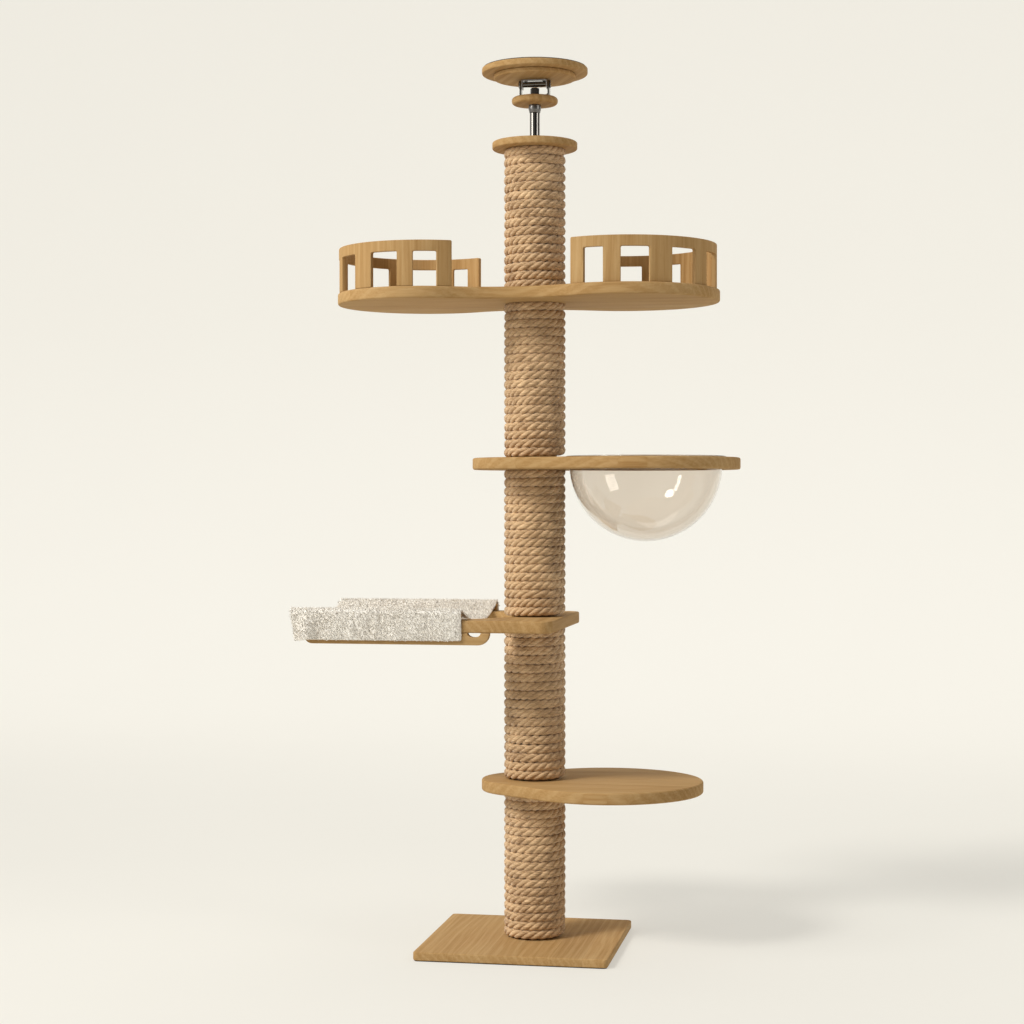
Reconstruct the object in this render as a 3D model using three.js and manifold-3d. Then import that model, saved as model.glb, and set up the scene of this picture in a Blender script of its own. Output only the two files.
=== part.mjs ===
// Floor-to-ceiling cat tree: a rope-wound post of five sections clamps four platforms between its
// joints, and a screw jack at the top presses a tilting pad against the ceiling.
// Millimetres, +Z up. The origin is on the floor, on the post's axis. +X runs along the platforms.
import * as THREE from 'three';
import { mergeVertices } from 'three/addons/utils/BufferGeometryUtils.js';
import Module from 'manifold-3d';

const wasm = await Module();
wasm.setup();

// ---- driving dimensions ----
const gap = 0.3;                    // clearance between pieces that touch
const boardThickness = 32;
const boardEdge = 4;                // chamfer along the platforms' edges
const overrun = 10;                 // how far a cutter runs past what it cuts

const postRadius = 84;              // outside of the rope
const tubeRadius = 60.5;            // outside of the tube that the rope is wound on
const tubeWall = 4;
const plugThickness = 30;
const postSegments = 20;            // facets of each piece that fits round or inside the tube
const studRadius = 6;
const studReach = 26;               // how far a stud goes into each section

const mat = { thickness: 2, inset: 3 };
const base = { side: 515, x: -22, y: -12, top: 24, corner: 8, edge: 2.5 };
const boltHead = { radius: 14, height: 7 };
const platformBottoms = [419.5, 861, 1290, 1740];
const cap = { bottom: 2159, thickness: 20, radius: 115.5 };

const lowerShelf = { postEnd: 144, lobe: 257, reach: 201 };
const bowlShelf = { postEnd: 169, lobe: 258, reach: 299 };
const bowl = { x: 303, radius: 205.5, wall: 4, centre: 1302.5, lip: 215.5, lipThickness: 4, mouthGap: 2 };
const twinShelf = { left: { x: -305, radius: 239 }, right: { x: 250, radius: 252 }, waist: 175 };

// A fence is measured in degrees from the outermost point of its lobe, positive towards the front.
// Its windows are open at the board and run from the first angle to the second.
const fence = { thickness: 11.5, height: 121, windowHeight: 92, facet: 6 };
const leftFence = {
  radius: 236, front: 120, back: 119.5,
  windows: [
    [94.5, 110], [65, 84], [31, 50], [5, 21], [-21, -5], [-51, -33], [-86, -67], [-109.5, -98],
  ],
};
const rightFence = {
  radius: 243, front: 120, back: 111,
  windows: [
    [97.5, 110.5], [68.5, 86.5], [35, 53.5], [5, 22.5], [-17, -5], [-45, -28], [-74, -57], [-101.5, -86.5],
  ],
};

const hammock = {
  halfWidth: 262, right: 88, left: -215, corner: 35, scoopX: -270, scoopRadius: 215,
  railLeft: -575, railTop: 915, railBottom: 829, railThickness: 20, railEdge: 2,
  railUpperEnd: -152, railTail: -76,
  railRound: 22, endRound: 8, tailRound: 30, reliefLeft: -134, reliefRight: -99, reliefDepth: 10,
  slingLeft: -615, slingRight: -150, cloth: 5.4, flapBottom: 839, sagLeft: 62, sagRight: 20,
  barRadius: 11, barX: -545, barZ: 843,
  screws: [-190, -150], screwRadius: 2.5, screwReach: 18,
  screwHead: 5, screwHeadHeight: 3, screwRecess: 4, screwSunk: 0.5,
};

const jack = {
  rodRadius: 13.5, rodBottom: 1990, neckRadius: 9, collarBottom: 2259, collarRadius: 17,
  discBottom: 2281, discRadius: 62.5, discThickness: 20, washerRadius: 17, washer: 1.5,
  headRadius: 12, headHeight: 19, nutRadius: 22, nutLength: 70, nutFlangeRadius: 34, nutFlange: 5,
};
const stirrup = { width: 81, depth: 26, plate: 4, top: 2346 };
const pin = { z: 2337, radius: 7.5, length: 88 };
const pad = {
  lugDepth: 22, lugPlate: 3, lugSideGap: 1, lugBottom: 2324, lowerBottom: 2350, lowerThickness: 12.7,
  lowerRadius: 111.5, upperThickness: 17, upperRadius: 143.5, gripInset: 4, top: 2382,
};

// ---- finishes ----
const finish = (color, roughness, metalness = 0, opacity = 1) => new THREE.MeshStandardMaterial({
  color, roughness, metalness, opacity, transparent: opacity < 1,
});
const wood = finish(0xc3a578, 0.55);
const innerWood = finish(0xd8bf95, 0.7);
const rope = finish(0xc8a57d, 0.95);
const card = finish(0xb08d63, 0.9);
const plush = finish(0xdcd7cd, 0.98);
const acrylic = finish(0xe8dfd0, 0.05, 0, 0.3);
const chrome = finish(0xc9c9cc, 0.15, 1);
const steel = finish(0x8d8f92, 0.35, 1);
const darkSteel = finish(0x3a3835, 0.45, 1);
const rubber = finish(0x2c2b2a, 0.9);

const tree = new THREE.Group();

function add(name, geometry, material, x = 0, y = 0, z = 0) {
  const mesh = new THREE.Mesh(geometry, material);
  mesh.name = name;
  mesh.position.set(x, y, z);
  tree.add(mesh);
}

// ---- solids ----
function toSolid(geometry) {
  const plain = geometry.clone();
  plain.deleteAttribute('normal');
  plain.deleteAttribute('uv');
  const merged = mergeVertices(plain, 1e-4);
  return new wasm.Manifold(new wasm.Mesh({
    numProp: 3,
    vertProperties: new Float32Array(merged.attributes.position.array),
    triVerts: new Uint32Array(merged.index.array),
  }));
}

function fromSolid(solid) {
  const mesh = solid.getMesh();
  const geometry = new THREE.BufferGeometry();
  geometry.setAttribute('position', new THREE.BufferAttribute(mesh.vertProperties, 3));
  geometry.setIndex(new THREE.BufferAttribute(mesh.triVerts, 1));
  return geometry;
}

// A turned piece: profile points are [radius, height], the axis is +Z.
function turned(profile, segments = 32) {
  const points = profile.map(([radius, height]) => new THREE.Vector2(radius, height));
  points.push(points[0].clone());
  const geometry = new THREE.LatheGeometry(points, segments);
  geometry.rotateX(Math.PI / 2);
  return geometry;
}

function ring(inner, outer, bottom, top, segments = 32) {
  return turned([[inner, bottom], [outer, bottom], [outer, top], [inner, top]], segments);
}

// A disc with a hole and a chamfer on both outer rims.
function disc(hole, radius, bottom, top, chamfer, segments = 36) {
  return turned([
    [hole, bottom], [radius - chamfer, bottom], [radius, bottom + chamfer],
    [radius, top - chamfer], [radius - chamfer, top], [hole, top],
  ], segments);
}

function rod(radius, bottom, top, segments = 16) {
  const geometry = new THREE.CylinderGeometry(radius, radius, top - bottom, segments);
  geometry.rotateX(Math.PI / 2);
  geometry.translate(0, 0, (top + bottom) / 2);
  return geometry;
}

function block(width, depth, bottom, top) {
  const geometry = new THREE.BoxGeometry(width, depth, top - bottom);
  geometry.translate(0, 0, (top + bottom) / 2);
  return geometry;
}

// A board cut to an outline and chamfered along its edges, from height bottom up.
function board(outline, bottom, thickness, edge = boardEdge, curveSegments = 14) {
  const geometry = new THREE.ExtrudeGeometry(outline, {
    depth: thickness - 2 * edge, curveSegments, bevelEnabled: true,
    bevelThickness: edge, bevelSize: edge, bevelOffset: -edge, bevelSegments: 1,
  });
  geometry.translate(0, 0, bottom + edge);
  return geometry;
}

function drill(geometry, ...cutters) {
  let solid = toSolid(geometry);
  for (const cutter of cutters) solid = solid.subtract(toSolid(cutter));
  return fromSolid(solid);
}

// ---- outlines ----
function roundedRectangle(left, right, front, back, corner) {
  const shape = new THREE.Shape();
  shape.absarc(right - corner, front + corner, corner, -Math.PI / 2, 0);
  shape.absarc(right - corner, back - corner, corner, 0, Math.PI / 2);
  shape.absarc(left + corner, back - corner, corner, Math.PI / 2, Math.PI);
  shape.absarc(left + corner, front + corner, corner, Math.PI, 1.5 * Math.PI);
  return shape;
}

// Two circles and their outer tangents: the post's end at the origin, the lobe at +X.
function teardrop({ postEnd, lobe, reach }) {
  const tangent = Math.acos((postEnd - lobe) / reach);
  const shape = new THREE.Shape();
  shape.absarc(reach, 0, lobe, -tangent, tangent);
  shape.absarc(0, 0, postEnd, tangent, 2 * Math.PI - tangent);
  return shape;
}

// Two lobes joined by a waist whose sides are concave arcs tangent to both lobes. The arc's centre
// lies at the one x where the fillet radius that suits each lobe is the same.
function peanut({ left, right, waist }) {
  const a = right.radius - waist;
  const b = left.radius - waist;
  const linear = a * left.x - b * right.x;
  const constant = a * left.x ** 2 - b * right.x ** 2
    - a * (left.radius ** 2 - waist ** 2) + b * (right.radius ** 2 - waist ** 2);
  const x = (linear + Math.sqrt(linear ** 2 - (a - b) * constant)) / (a - b);
  const fillet = ((x - left.x) ** 2 + waist ** 2 - left.radius ** 2) / (2 * b);
  const y = waist + fillet;
  const rightTangent = Math.atan2(y, x - right.x);
  const leftTangent = Math.atan2(y, x - left.x);
  const shape = new THREE.Shape();
  shape.absarc(right.x, 0, right.radius, -rightTangent, rightTangent);
  shape.absarc(x, y, fillet, rightTangent - Math.PI, leftTangent - Math.PI, true);
  shape.absarc(left.x, 0, left.radius, leftTangent, 2 * Math.PI - leftTangent);
  shape.absarc(x, -y, fillet, Math.PI - leftTangent, Math.PI - rightTangent, true);
  return shape;
}

// ---- base ----
function baseOutline(inset = 0) {
  const half = base.side / 2 - inset;
  return roundedRectangle(base.x - half, base.x + half, base.y - half, base.y + half, base.corner);
}

function addBase() {
  const matSheet = new THREE.ExtrudeGeometry(baseOutline(mat.inset), {
    depth: mat.thickness - gap, curveSegments: 4, bevelEnabled: false,
  });
  add('base_mat', matSheet, rubber);
  const headTop = mat.thickness + gap + boltHead.height;
  add('base_board', drill(
    board(baseOutline(), mat.thickness, base.top - mat.thickness, base.edge, 5),
    rod(studRadius + gap, 0, base.top + overrun),
    rod(boltHead.radius + gap, 0, headTop + gap, 16),
  ), wood);
  const shankTop = base.top + gap + studReach;
  add('base_bolt', turned([
    [0, mat.thickness + gap], [boltHead.radius, mat.thickness + gap], [boltHead.radius, headTop],
    [studRadius, headTop], [studRadius, shankTop], [0, shankTop],
  ], 16), steel);
}

// ---- post ----
function addPost() {
  const tops = [...platformBottoms, cap.bottom];
  const bottoms = [base.top, ...platformBottoms.map((z) => z + boardThickness)];
  tops.forEach((top, index) => {
    const number = index + 1;
    const low = bottoms[index] + gap;
    const high = top - gap;
    const plugRadius = tubeRadius - tubeWall - gap;
    const isLast = index === tops.length - 1;
    const upperHole = isLast ? jack.nutRadius + gap : studRadius + gap;
    add(`post_tube_${number}`, ring(tubeRadius - tubeWall, tubeRadius, low, high, postSegments), card);
    add(`rope_wrap_${number}`, ring(tubeRadius + gap, postRadius, low, high, postSegments), rope);
    const lowerPlug = ring(studRadius + gap, plugRadius, low, low + plugThickness, postSegments);
    const upperPlug = ring(upperHole, plugRadius, high - plugThickness, high, postSegments);
    add(`plug_${number}_lower`, lowerPlug, innerWood);
    add(`plug_${number}_upper`, upperPlug, innerWood);
    if (!isLast) {
      const stud = rod(studRadius, top - studReach, top + boardThickness + studReach, 12);
      add(`joining_stud_${number}`, stud, steel);
    }
  });
}

// ---- platforms ----
const through = (radius, bottom, segments) => (
  rod(radius, bottom - overrun, bottom + boardThickness + overrun, segments)
);
const studHole = (bottom) => through(studRadius + gap, bottom, 16);

function addLowerShelf() {
  const bottom = platformBottoms[0];
  add('lower_shelf', drill(board(teardrop(lowerShelf), bottom, boardThickness), studHole(bottom)), wood);
}

function addBowlShelf() {
  const bottom = platformBottoms[2];
  const mouth = through(bowl.radius + bowl.mouthGap, bottom, 48);
  mouth.translate(bowl.x, 0, 0);
  const blank = board(teardrop(bowlShelf), bottom, boardThickness);
  add('bowl_shelf', drill(blank, studHole(bottom), mouth), wood);

  // Half sphere, a short straight neck through the board, and a lip that rests on the board.
  const lipBottom = bottom + boardThickness + gap;
  const outer = [];
  const inner = [];
  const steps = 8;
  for (let step = 0; step <= steps; step += 1) {
    const angle = (step / steps) * Math.PI / 2;
    outer.push([bowl.radius * Math.sin(angle), bowl.centre - bowl.radius * Math.cos(angle)]);
    const innerRadius = bowl.radius - bowl.wall;
    inner.unshift([innerRadius * Math.sin(angle), bowl.centre - innerRadius * Math.cos(angle)]);
  }
  add('bowl', turned([
    ...outer, [bowl.radius, lipBottom], [bowl.lip, lipBottom], [bowl.lip, lipBottom + bowl.lipThickness],
    [bowl.radius - bowl.wall, lipBottom + bowl.lipThickness], ...inner,
  ], 32), acrylic, bowl.x);
}

// A curved comb of slats under one top band. It stands on the board and opens towards the post.
function addFence(name, lobe, look, side) {
  const middle = look.radius - fence.thickness / 2;
  const floor = platformBottoms[3] + boardThickness + gap;
  // side is 1 for the fence that faces +X and -1 for the one that faces -X
  const direction = (angle) => {
    const turn = THREE.MathUtils.degToRad(angle);
    return side > 0 ? -turn : Math.PI + turn;
  };
  const start = Math.min(direction(look.front), direction(-look.back));
  const end = Math.max(direction(look.front), direction(-look.back));
  const outline = new THREE.Shape();
  outline.absarc(0, 0, look.radius, start, end);
  outline.absarc(0, 0, look.radius - fence.thickness, end, start, true);
  const wall = new THREE.ExtrudeGeometry(outline, {
    depth: fence.height, curveSegments: Math.round((look.front + look.back) / fence.facet),
    bevelEnabled: false,
  });
  const cutters = look.windows.map(([from, to]) => {
    const width = 2 * middle * Math.sin(THREE.MathUtils.degToRad((to - from) / 2));
    const cutter = new THREE.BoxGeometry(4 * fence.thickness, width, 2 * fence.windowHeight);
    cutter.translate(middle, 0, 0);
    cutter.rotateZ(direction((from + to) / 2));
    return cutter;
  });
  add(name, drill(wall, ...cutters), wood, lobe.x, 0, floor);
}

function addTwinShelf() {
  const bottom = platformBottoms[3];
  add('twin_shelf', drill(board(peanut(twinShelf), bottom, boardThickness), studHole(bottom)), wood);
  addFence('fence_left', twinShelf.left, leftFence, -1);
  addFence('fence_right', twinShelf.right, rightFence, 1);
}

// ---- hammock ----
// The side rail, seen from the front: a plank on edge that grips the board's end in a slot and
// ends in a low tail under the board, with a shallow relief above the tail.
function railOutline() {
  const boardTop = platformBottoms[1] + boardThickness + gap;
  const boardUnder = platformBottoms[1] - gap;
  const { railLeft, railTop, railBottom, railUpperEnd, railTail } = hammock;
  const round = railTail - hammock.tailRound;
  const shape = new THREE.Shape();
  shape.moveTo(railLeft + hammock.railRound, railBottom);
  shape.lineTo(round, railBottom);
  shape.absellipse(round, boardUnder, hammock.tailRound, boardUnder - railBottom, -Math.PI / 2, 0);
  shape.lineTo(hammock.reliefRight, boardUnder);
  shape.lineTo(hammock.reliefRight - hammock.reliefDepth, boardUnder - hammock.reliefDepth);
  shape.lineTo(hammock.reliefLeft, boardUnder - hammock.reliefDepth);
  shape.lineTo(hammock.reliefLeft, boardUnder);
  shape.lineTo(hammock.left - gap, boardUnder);
  shape.lineTo(hammock.left - gap, boardTop);
  shape.lineTo(railUpperEnd, boardTop);
  const { endRound, railRound } = hammock;
  shape.absarc(railUpperEnd - endRound, railTop - endRound, endRound, 0, Math.PI / 2);
  shape.absarc(railLeft + endRound, railTop - endRound, endRound, Math.PI / 2, Math.PI);
  shape.absarc(railLeft + railRound, railBottom + railRound, railRound, Math.PI, 1.5 * Math.PI);
  return shape;
}

function addRail(name, side) {
  const centre = hammock.halfWidth - hammock.railThickness / 2;
  const edge = hammock.railEdge;
  const plank = new THREE.ExtrudeGeometry(railOutline(), {
    depth: hammock.railThickness - 2 * edge, curveSegments: 4, bevelEnabled: true,
    bevelThickness: edge, bevelSize: edge, bevelOffset: -edge, bevelSegments: 1,
  });
  plank.translate(0, 0, edge - hammock.railThickness / 2);
  plank.rotateX(Math.PI / 2);
  plank.translate(0, side * centre, 0);
  const barHole = rod(hammock.barRadius + gap, -2 * hammock.railThickness, 2 * hammock.railThickness, 24);
  barHole.rotateX(Math.PI / 2);
  barHole.translate(hammock.barX, side * (centre - hammock.railThickness), hammock.barZ);
  const cutters = [barHole];
  for (const x of hammock.screws) {
    const start = hammock.railBottom - overrun;
    const hole = rod(hammock.screwRadius + gap, start, platformBottoms[1] + overrun, 12);
    hole.translate(x, side * centre, 0);
    const recess = rod(hammock.screwHead + gap, start, hammock.railBottom + hammock.screwRecess, 12);
    recess.translate(x, side * centre, 0);
    cutters.push(hole, recess);
  }
  add(name, drill(plank, ...cutters), wood);
}

// The sling's middle layer across the rails, as [distance from the middle, height]: a flap down the
// outside of each rail, a bend over the rail's top, and a sag between the rails.
function slingSection(sag) {
  const bend = hammock.railEdge + gap + hammock.cloth / 2;
  const bendY = hammock.halfWidth - hammock.railEdge;
  const bendZ = hammock.railTop - hammock.railEdge;
  const inner = hammock.halfWidth - hammock.railThickness - hammock.cloth / 2;
  const half = [[bendY + bend, hammock.flapBottom], [bendY + bend, (hammock.flapBottom + bendZ) / 2]];
  for (let step = 0; step <= 2; step += 1) {
    const angle = step * Math.PI / 4;
    half.push([bendY + bend * Math.cos(angle), bendZ + bend * Math.sin(angle)]);
  }
  const sagSteps = 8;
  for (let step = 0; step < sagSteps; step += 1) {
    const out = inner * (1 - step / sagSteps);
    half.push([out, bendZ + bend - sag * (1 - (out / inner) ** 2)]);
  }
  const mirrored = half.map(([out, z]) => [-out, z]);
  return [...mirrored, [0, bendZ + bend - sag], ...half.reverse()];
}

function addSling() {
  const length = hammock.slingRight - hammock.slingLeft;
  const acrossSteps = slingSection(0).length - 1;
  const box = new THREE.BoxGeometry(length, 1, hammock.cloth, 6, acrossSteps, 1);
  const points = box.attributes.position;
  for (let index = 0; index < points.count; index += 1) {
    const along = points.getX(index) / length + 0.5;
    const section = slingSection(THREE.MathUtils.lerp(hammock.sagLeft, hammock.sagRight, along));
    const place = Math.round((points.getY(index) + 0.5) * acrossSteps);
    const before = section[Math.max(place - 1, 0)];
    const after = section[Math.min(place + 1, acrossSteps)];
    const reach = Math.hypot(after[0] - before[0], after[1] - before[1]);
    const offset = points.getZ(index);
    points.setXYZ(
      index,
      THREE.MathUtils.lerp(hammock.slingLeft, hammock.slingRight, along),
      section[place][0] - offset * (after[1] - before[1]) / reach,
      section[place][1] + offset * (after[0] - before[0]) / reach,
    );
  }
  add('hammock_sling', box, plush);
}

function addHammock() {
  const bottom = platformBottoms[1];
  const outline = roundedRectangle(
    hammock.left, hammock.right, -hammock.halfWidth, hammock.halfWidth, hammock.corner,
  );
  const scoop = through(hammock.scoopRadius, bottom, 40);
  scoop.translate(hammock.scoopX, 0, 0);
  const pilots = [];
  for (const side of [-1, 1]) {
    for (const x of hammock.screws) {
      const pilotTop = bottom + hammock.screwReach + 1;
      const pilot = rod(hammock.screwRadius + gap, bottom - overrun, pilotTop, 12);
      pilot.translate(x, side * (hammock.halfWidth - hammock.railThickness / 2), 0);
      pilots.push(pilot);
    }
  }
  const blank = board(outline, bottom, boardThickness, boardEdge, 6);
  add('hammock_board', drill(blank, studHole(bottom), scoop, ...pilots), wood);
  addRail('rail_front', -1);
  addRail('rail_back', 1);
  const barEnd = hammock.halfWidth - hammock.railThickness / 2;
  const bar = rod(hammock.barRadius, -barEnd, barEnd, 20);
  bar.rotateX(Math.PI / 2);
  add('spreader_bar', bar, wood, hammock.barX, 0, hammock.barZ);
  for (const side of [-1, 1]) {
    hammock.screws.forEach((x, index) => {
      const headBottom = hammock.railBottom + hammock.screwSunk;
      const headTop = headBottom + hammock.screwHeadHeight;
      const tip = bottom + hammock.screwReach;
      const screw = turned([
        [0, headBottom], [hammock.screwHead, headBottom], [hammock.screwHead, headTop],
        [hammock.screwRadius, headTop], [hammock.screwRadius, tip], [0, tip],
      ], 10);
      const place = `${side < 0 ? 'front' : 'back'}_${index + 1}`;
      add(`rail_screw_${place}`, screw, steel, x, side * barEnd, 0);
    });
  }
  addSling();
}

// ---- screw jack and ceiling pad ----
function addJack() {
  const capTop = cap.bottom + cap.thickness;
  add('top_cap', disc(jack.nutRadius + gap, cap.radius, cap.bottom, capTop, 2), wood);
  const nutTop = capTop + gap + jack.nutFlange;
  const nutBottom = nutTop - jack.nutLength;
  add('jack_nut', turned([
    [jack.rodRadius + gap, nutBottom], [jack.nutRadius, nutBottom], [jack.nutRadius, capTop + gap],
    [jack.nutFlangeRadius, capTop + gap], [jack.nutFlangeRadius, nutTop], [jack.rodRadius + gap, nutTop],
  ], 24), darkSteel);

  const discTop = jack.discBottom + jack.discThickness;
  const washerTop = discTop + gap + jack.washer;
  const plateBottom = washerTop + gap;
  const plateTop = plateBottom + stirrup.plate;
  const headBottom = plateTop + gap;
  add('jack_rod', turned([
    [0, jack.rodBottom], [jack.rodRadius, jack.rodBottom], [jack.rodRadius, jack.collarBottom - gap],
    [jack.neckRadius, jack.collarBottom - gap], [jack.neckRadius, headBottom - gap], [0, headBottom - gap],
  ], 24), chrome);
  const neckHole = jack.neckRadius + gap;
  const collarTop = jack.discBottom - gap;
  add('jack_collar', disc(neckHole, jack.collarRadius, jack.collarBottom, collarTop, 2, 24), darkSteel);
  add('hand_disc', disc(jack.neckRadius + gap, jack.discRadius, jack.discBottom, discTop, 3), wood);
  add('swivel_head', rod(jack.headRadius, headBottom, headBottom + jack.headHeight, 24), darkSteel);
  add('thrust_washer', ring(jack.neckRadius + gap, jack.washerRadius, discTop + gap, washerTop, 24), steel);

  const bridge = block(stirrup.width, stirrup.depth, plateBottom, stirrup.top);
  const inside = block(stirrup.width - 2 * stirrup.plate, 2 * stirrup.depth, plateTop, 2 * stirrup.top);
  const pinHole = rod(pin.radius + gap, -stirrup.width, stirrup.width, 20);
  pinHole.rotateY(Math.PI / 2);
  pinHole.translate(0, 0, pin.z);
  add('stirrup', drill(bridge, inside, rod(neckHole, 0, plateTop + overrun, 24), pinHole), chrome);
  const crossPin = rod(pin.radius, -pin.length / 2, pin.length / 2, 20);
  crossPin.rotateY(Math.PI / 2);
  add('cross_pin', crossPin, chrome, 0, 0, pin.z);

  const lugWidth = stirrup.width - 2 * stirrup.plate - 2 * pad.lugSideGap;
  const lugTop = pad.lowerBottom - gap;
  const lug = block(lugWidth, pad.lugDepth, pad.lugBottom, lugTop);
  const lugInside = block(lugWidth - 2 * pad.lugPlate, 2 * pad.lugDepth, 0, lugTop - pad.lugPlate);
  add('pad_lug', drill(lug, lugInside, pinHole), steel);
  const lowerTop = pad.lowerBottom + pad.lowerThickness;
  add('pad_disc_lower', disc(0, pad.lowerRadius, pad.lowerBottom, lowerTop, 2), wood);
  const upperTop = lowerTop + gap + pad.upperThickness;
  add('pad_disc_upper', disc(0, pad.upperRadius, lowerTop + gap, upperTop, 2, 40), wood);
  add('ceiling_grip', disc(0, pad.upperRadius - pad.gripInset, upperTop + gap, pad.top, 0.5), rubber);
}

addBase();
addPost();
addLowerShelf();
addBowlShelf();
addTwinShelf();
addHammock();
addJack();

export default tree;
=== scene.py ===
import bpy
import bmesh
import math
from mathutils import Matrix, Vector


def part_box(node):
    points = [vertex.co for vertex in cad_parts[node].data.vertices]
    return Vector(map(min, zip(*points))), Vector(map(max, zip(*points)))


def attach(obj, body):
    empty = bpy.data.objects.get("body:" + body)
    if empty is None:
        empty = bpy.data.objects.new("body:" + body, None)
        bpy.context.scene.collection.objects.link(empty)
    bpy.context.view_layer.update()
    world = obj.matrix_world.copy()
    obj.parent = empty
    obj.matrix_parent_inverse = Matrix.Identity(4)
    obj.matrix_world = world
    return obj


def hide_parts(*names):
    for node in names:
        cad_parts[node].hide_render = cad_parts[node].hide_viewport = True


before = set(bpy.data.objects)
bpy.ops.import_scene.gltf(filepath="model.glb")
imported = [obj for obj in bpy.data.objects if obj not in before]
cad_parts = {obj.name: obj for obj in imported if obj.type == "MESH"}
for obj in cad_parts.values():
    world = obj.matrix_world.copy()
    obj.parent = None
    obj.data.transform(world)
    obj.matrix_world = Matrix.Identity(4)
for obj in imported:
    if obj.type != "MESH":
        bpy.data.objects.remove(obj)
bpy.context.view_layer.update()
scene = bpy.context.scene
scene.view_settings.view_transform = "Standard"
fullTurn = 2 * math.pi
up = Vector((0, 0, 1))


# ---- small tools ----
class Wire:  # one socket of a node tree; arithmetic on it adds Math nodes
    def __init__(self, pen, socket):
        self.pen, self.socket = pen, socket

    def __add__(self, other):
        return self.pen.math("ADD", self, other)

    def __radd__(self, other):
        return self.pen.math("ADD", other, self)

    def __sub__(self, other):
        return self.pen.math("SUBTRACT", self, other)

    def __rsub__(self, other):
        return self.pen.math("SUBTRACT", other, self)

    def __mul__(self, other):
        return self.pen.math("MULTIPLY", self, other)

    def __rmul__(self, other):
        return self.pen.math("MULTIPLY", other, self)

    def __truediv__(self, other):
        return self.pen.math("DIVIDE", self, other)


class Pen:  # writes nodes into one shader or geometry tree
    def __init__(self, tree):
        self.tree = tree

    def node(self, kind, settings=None, sockets=None, out=0):
        made = self.tree.nodes.new(kind)
        for name, value in (settings or {}).items():
            if name == "stops":
                ramp = made.color_ramp.elements
                while len(ramp) < len(value):
                    ramp.new(1.0)
                for element, (position, color) in zip(ramp, value):
                    element.position = position
                    element.color = (*color, 1.0)
            else:
                setattr(made, name, value)
        for key, value in (sockets or {}).items():
            if isinstance(value, Wire):
                self.tree.links.new(value.socket, made.inputs[key])
            else:
                made.inputs[key].default_value = value
        return Wire(self, made.outputs[out])

    def math(self, operation, a, b=0.0):
        return self.node("ShaderNodeMath", {"operation": operation}, {0: a, 1: b})

    def step(self, value, low, high):
        return self.node("ShaderNodeMapRange", {"interpolation_type": "SMOOTHSTEP"},
                         {"Value": value, "From Min": low, "From Max": high})

    def mix(self, factor, a, b, blend="MIX"):
        settings = {"data_type": "RGBA", "blend_type": blend}
        return self.node("ShaderNodeMix", settings, {0: factor, 6: a, 7: b}, 2)

    def noise(self, vector, scale, detail=3.0, roughness=0.5, distortion=0.0, out="Fac"):
        return self.node("ShaderNodeTexNoise", None, {
            "Vector": vector, "Scale": scale, "Detail": detail, "Roughness": roughness,
            "Distortion": distortion}, out)

    def stretch(self, vector, scale, turn=(0, 0, 0), shift=(0, 0, 0)):
        return self.node("ShaderNodeMapping", None, {
            "Vector": vector, "Scale": scale, "Rotation": turn, "Location": shift})

    def parts(self, vector):
        split = self.tree.nodes.new("ShaderNodeSeparateXYZ")
        self.tree.links.new(vector.socket, split.inputs[0])
        return [Wire(self, output) for output in split.outputs]

    def vector(self, x, y, z):
        return self.node("ShaderNodeCombineXYZ", None, {0: x, 1: y, 2: z})

    def bump(self, height, distance, strength=1.0, normal=None):
        sockets = {"Height": height, "Distance": distance, "Strength": strength}
        if normal is not None:
            sockets["Normal"] = normal
        return self.node("ShaderNodeBump", None, sockets)


def newMaterial(name, fixed=None):
    material = bpy.data.materials.new(name)
    material.use_nodes = True
    shader = material.node_tree.nodes["Principled BSDF"]
    for socket, value in (fixed or {}).items():
        shader.inputs[socket].default_value = value
    return material, Pen(material.node_tree), shader


def feed(pen, shader, links):
    for socket, wire in links.items():
        pen.tree.links.new(wire.socket, shader.inputs[socket])


def objectPlace(pen):
    return pen.node("ShaderNodeTexCoord", None, None, "Object")


def newPiece(name, mesh, material, smooth=35):
    piece = bpy.data.objects.new(name, mesh)
    scene.collection.objects.link(piece)
    mesh.materials.clear()
    mesh.materials.append(material)
    if smooth:
        mesh.polygons.foreach_set("use_smooth", [True] * len(mesh.polygons))
        mesh.set_sharp_from_angle(angle=math.radians(smooth))
    return piece


def settle(piece, body, slot, *nodes):  # hand a finished piece over to the frame
    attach(piece, body)
    if nodes:
        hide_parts(*nodes)
    return piece


def bake(piece):  # apply what the modifiers do and drop them
    bpy.context.view_layer.update()
    finished = piece.evaluated_get(bpy.context.evaluated_depsgraph_get())
    mesh = bpy.data.meshes.new_from_object(finished)
    piece.modifiers.clear()
    piece.data = mesh
    return piece


def meshFromPoints(name, points, faces):
    mesh = bpy.data.meshes.new(name)
    mesh.from_pydata([tuple(point) for point in points], [], faces)
    mesh.update()
    return mesh


def cleanMesh(mesh, distance=1e-6):
    work = bmesh.new()
    work.from_mesh(mesh)
    bmesh.ops.remove_doubles(work, verts=work.verts, dist=distance)
    bmesh.ops.recalc_face_normals(work, faces=work.faces)
    work.to_mesh(mesh)
    work.free()
    return mesh


def arc(x, y, radius, start, end, steps):
    angles = [start + (end - start) * step / steps for step in range(steps + 1)]
    return [(x + radius * math.cos(a), y + radius * math.sin(a)) for a in angles]


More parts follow.
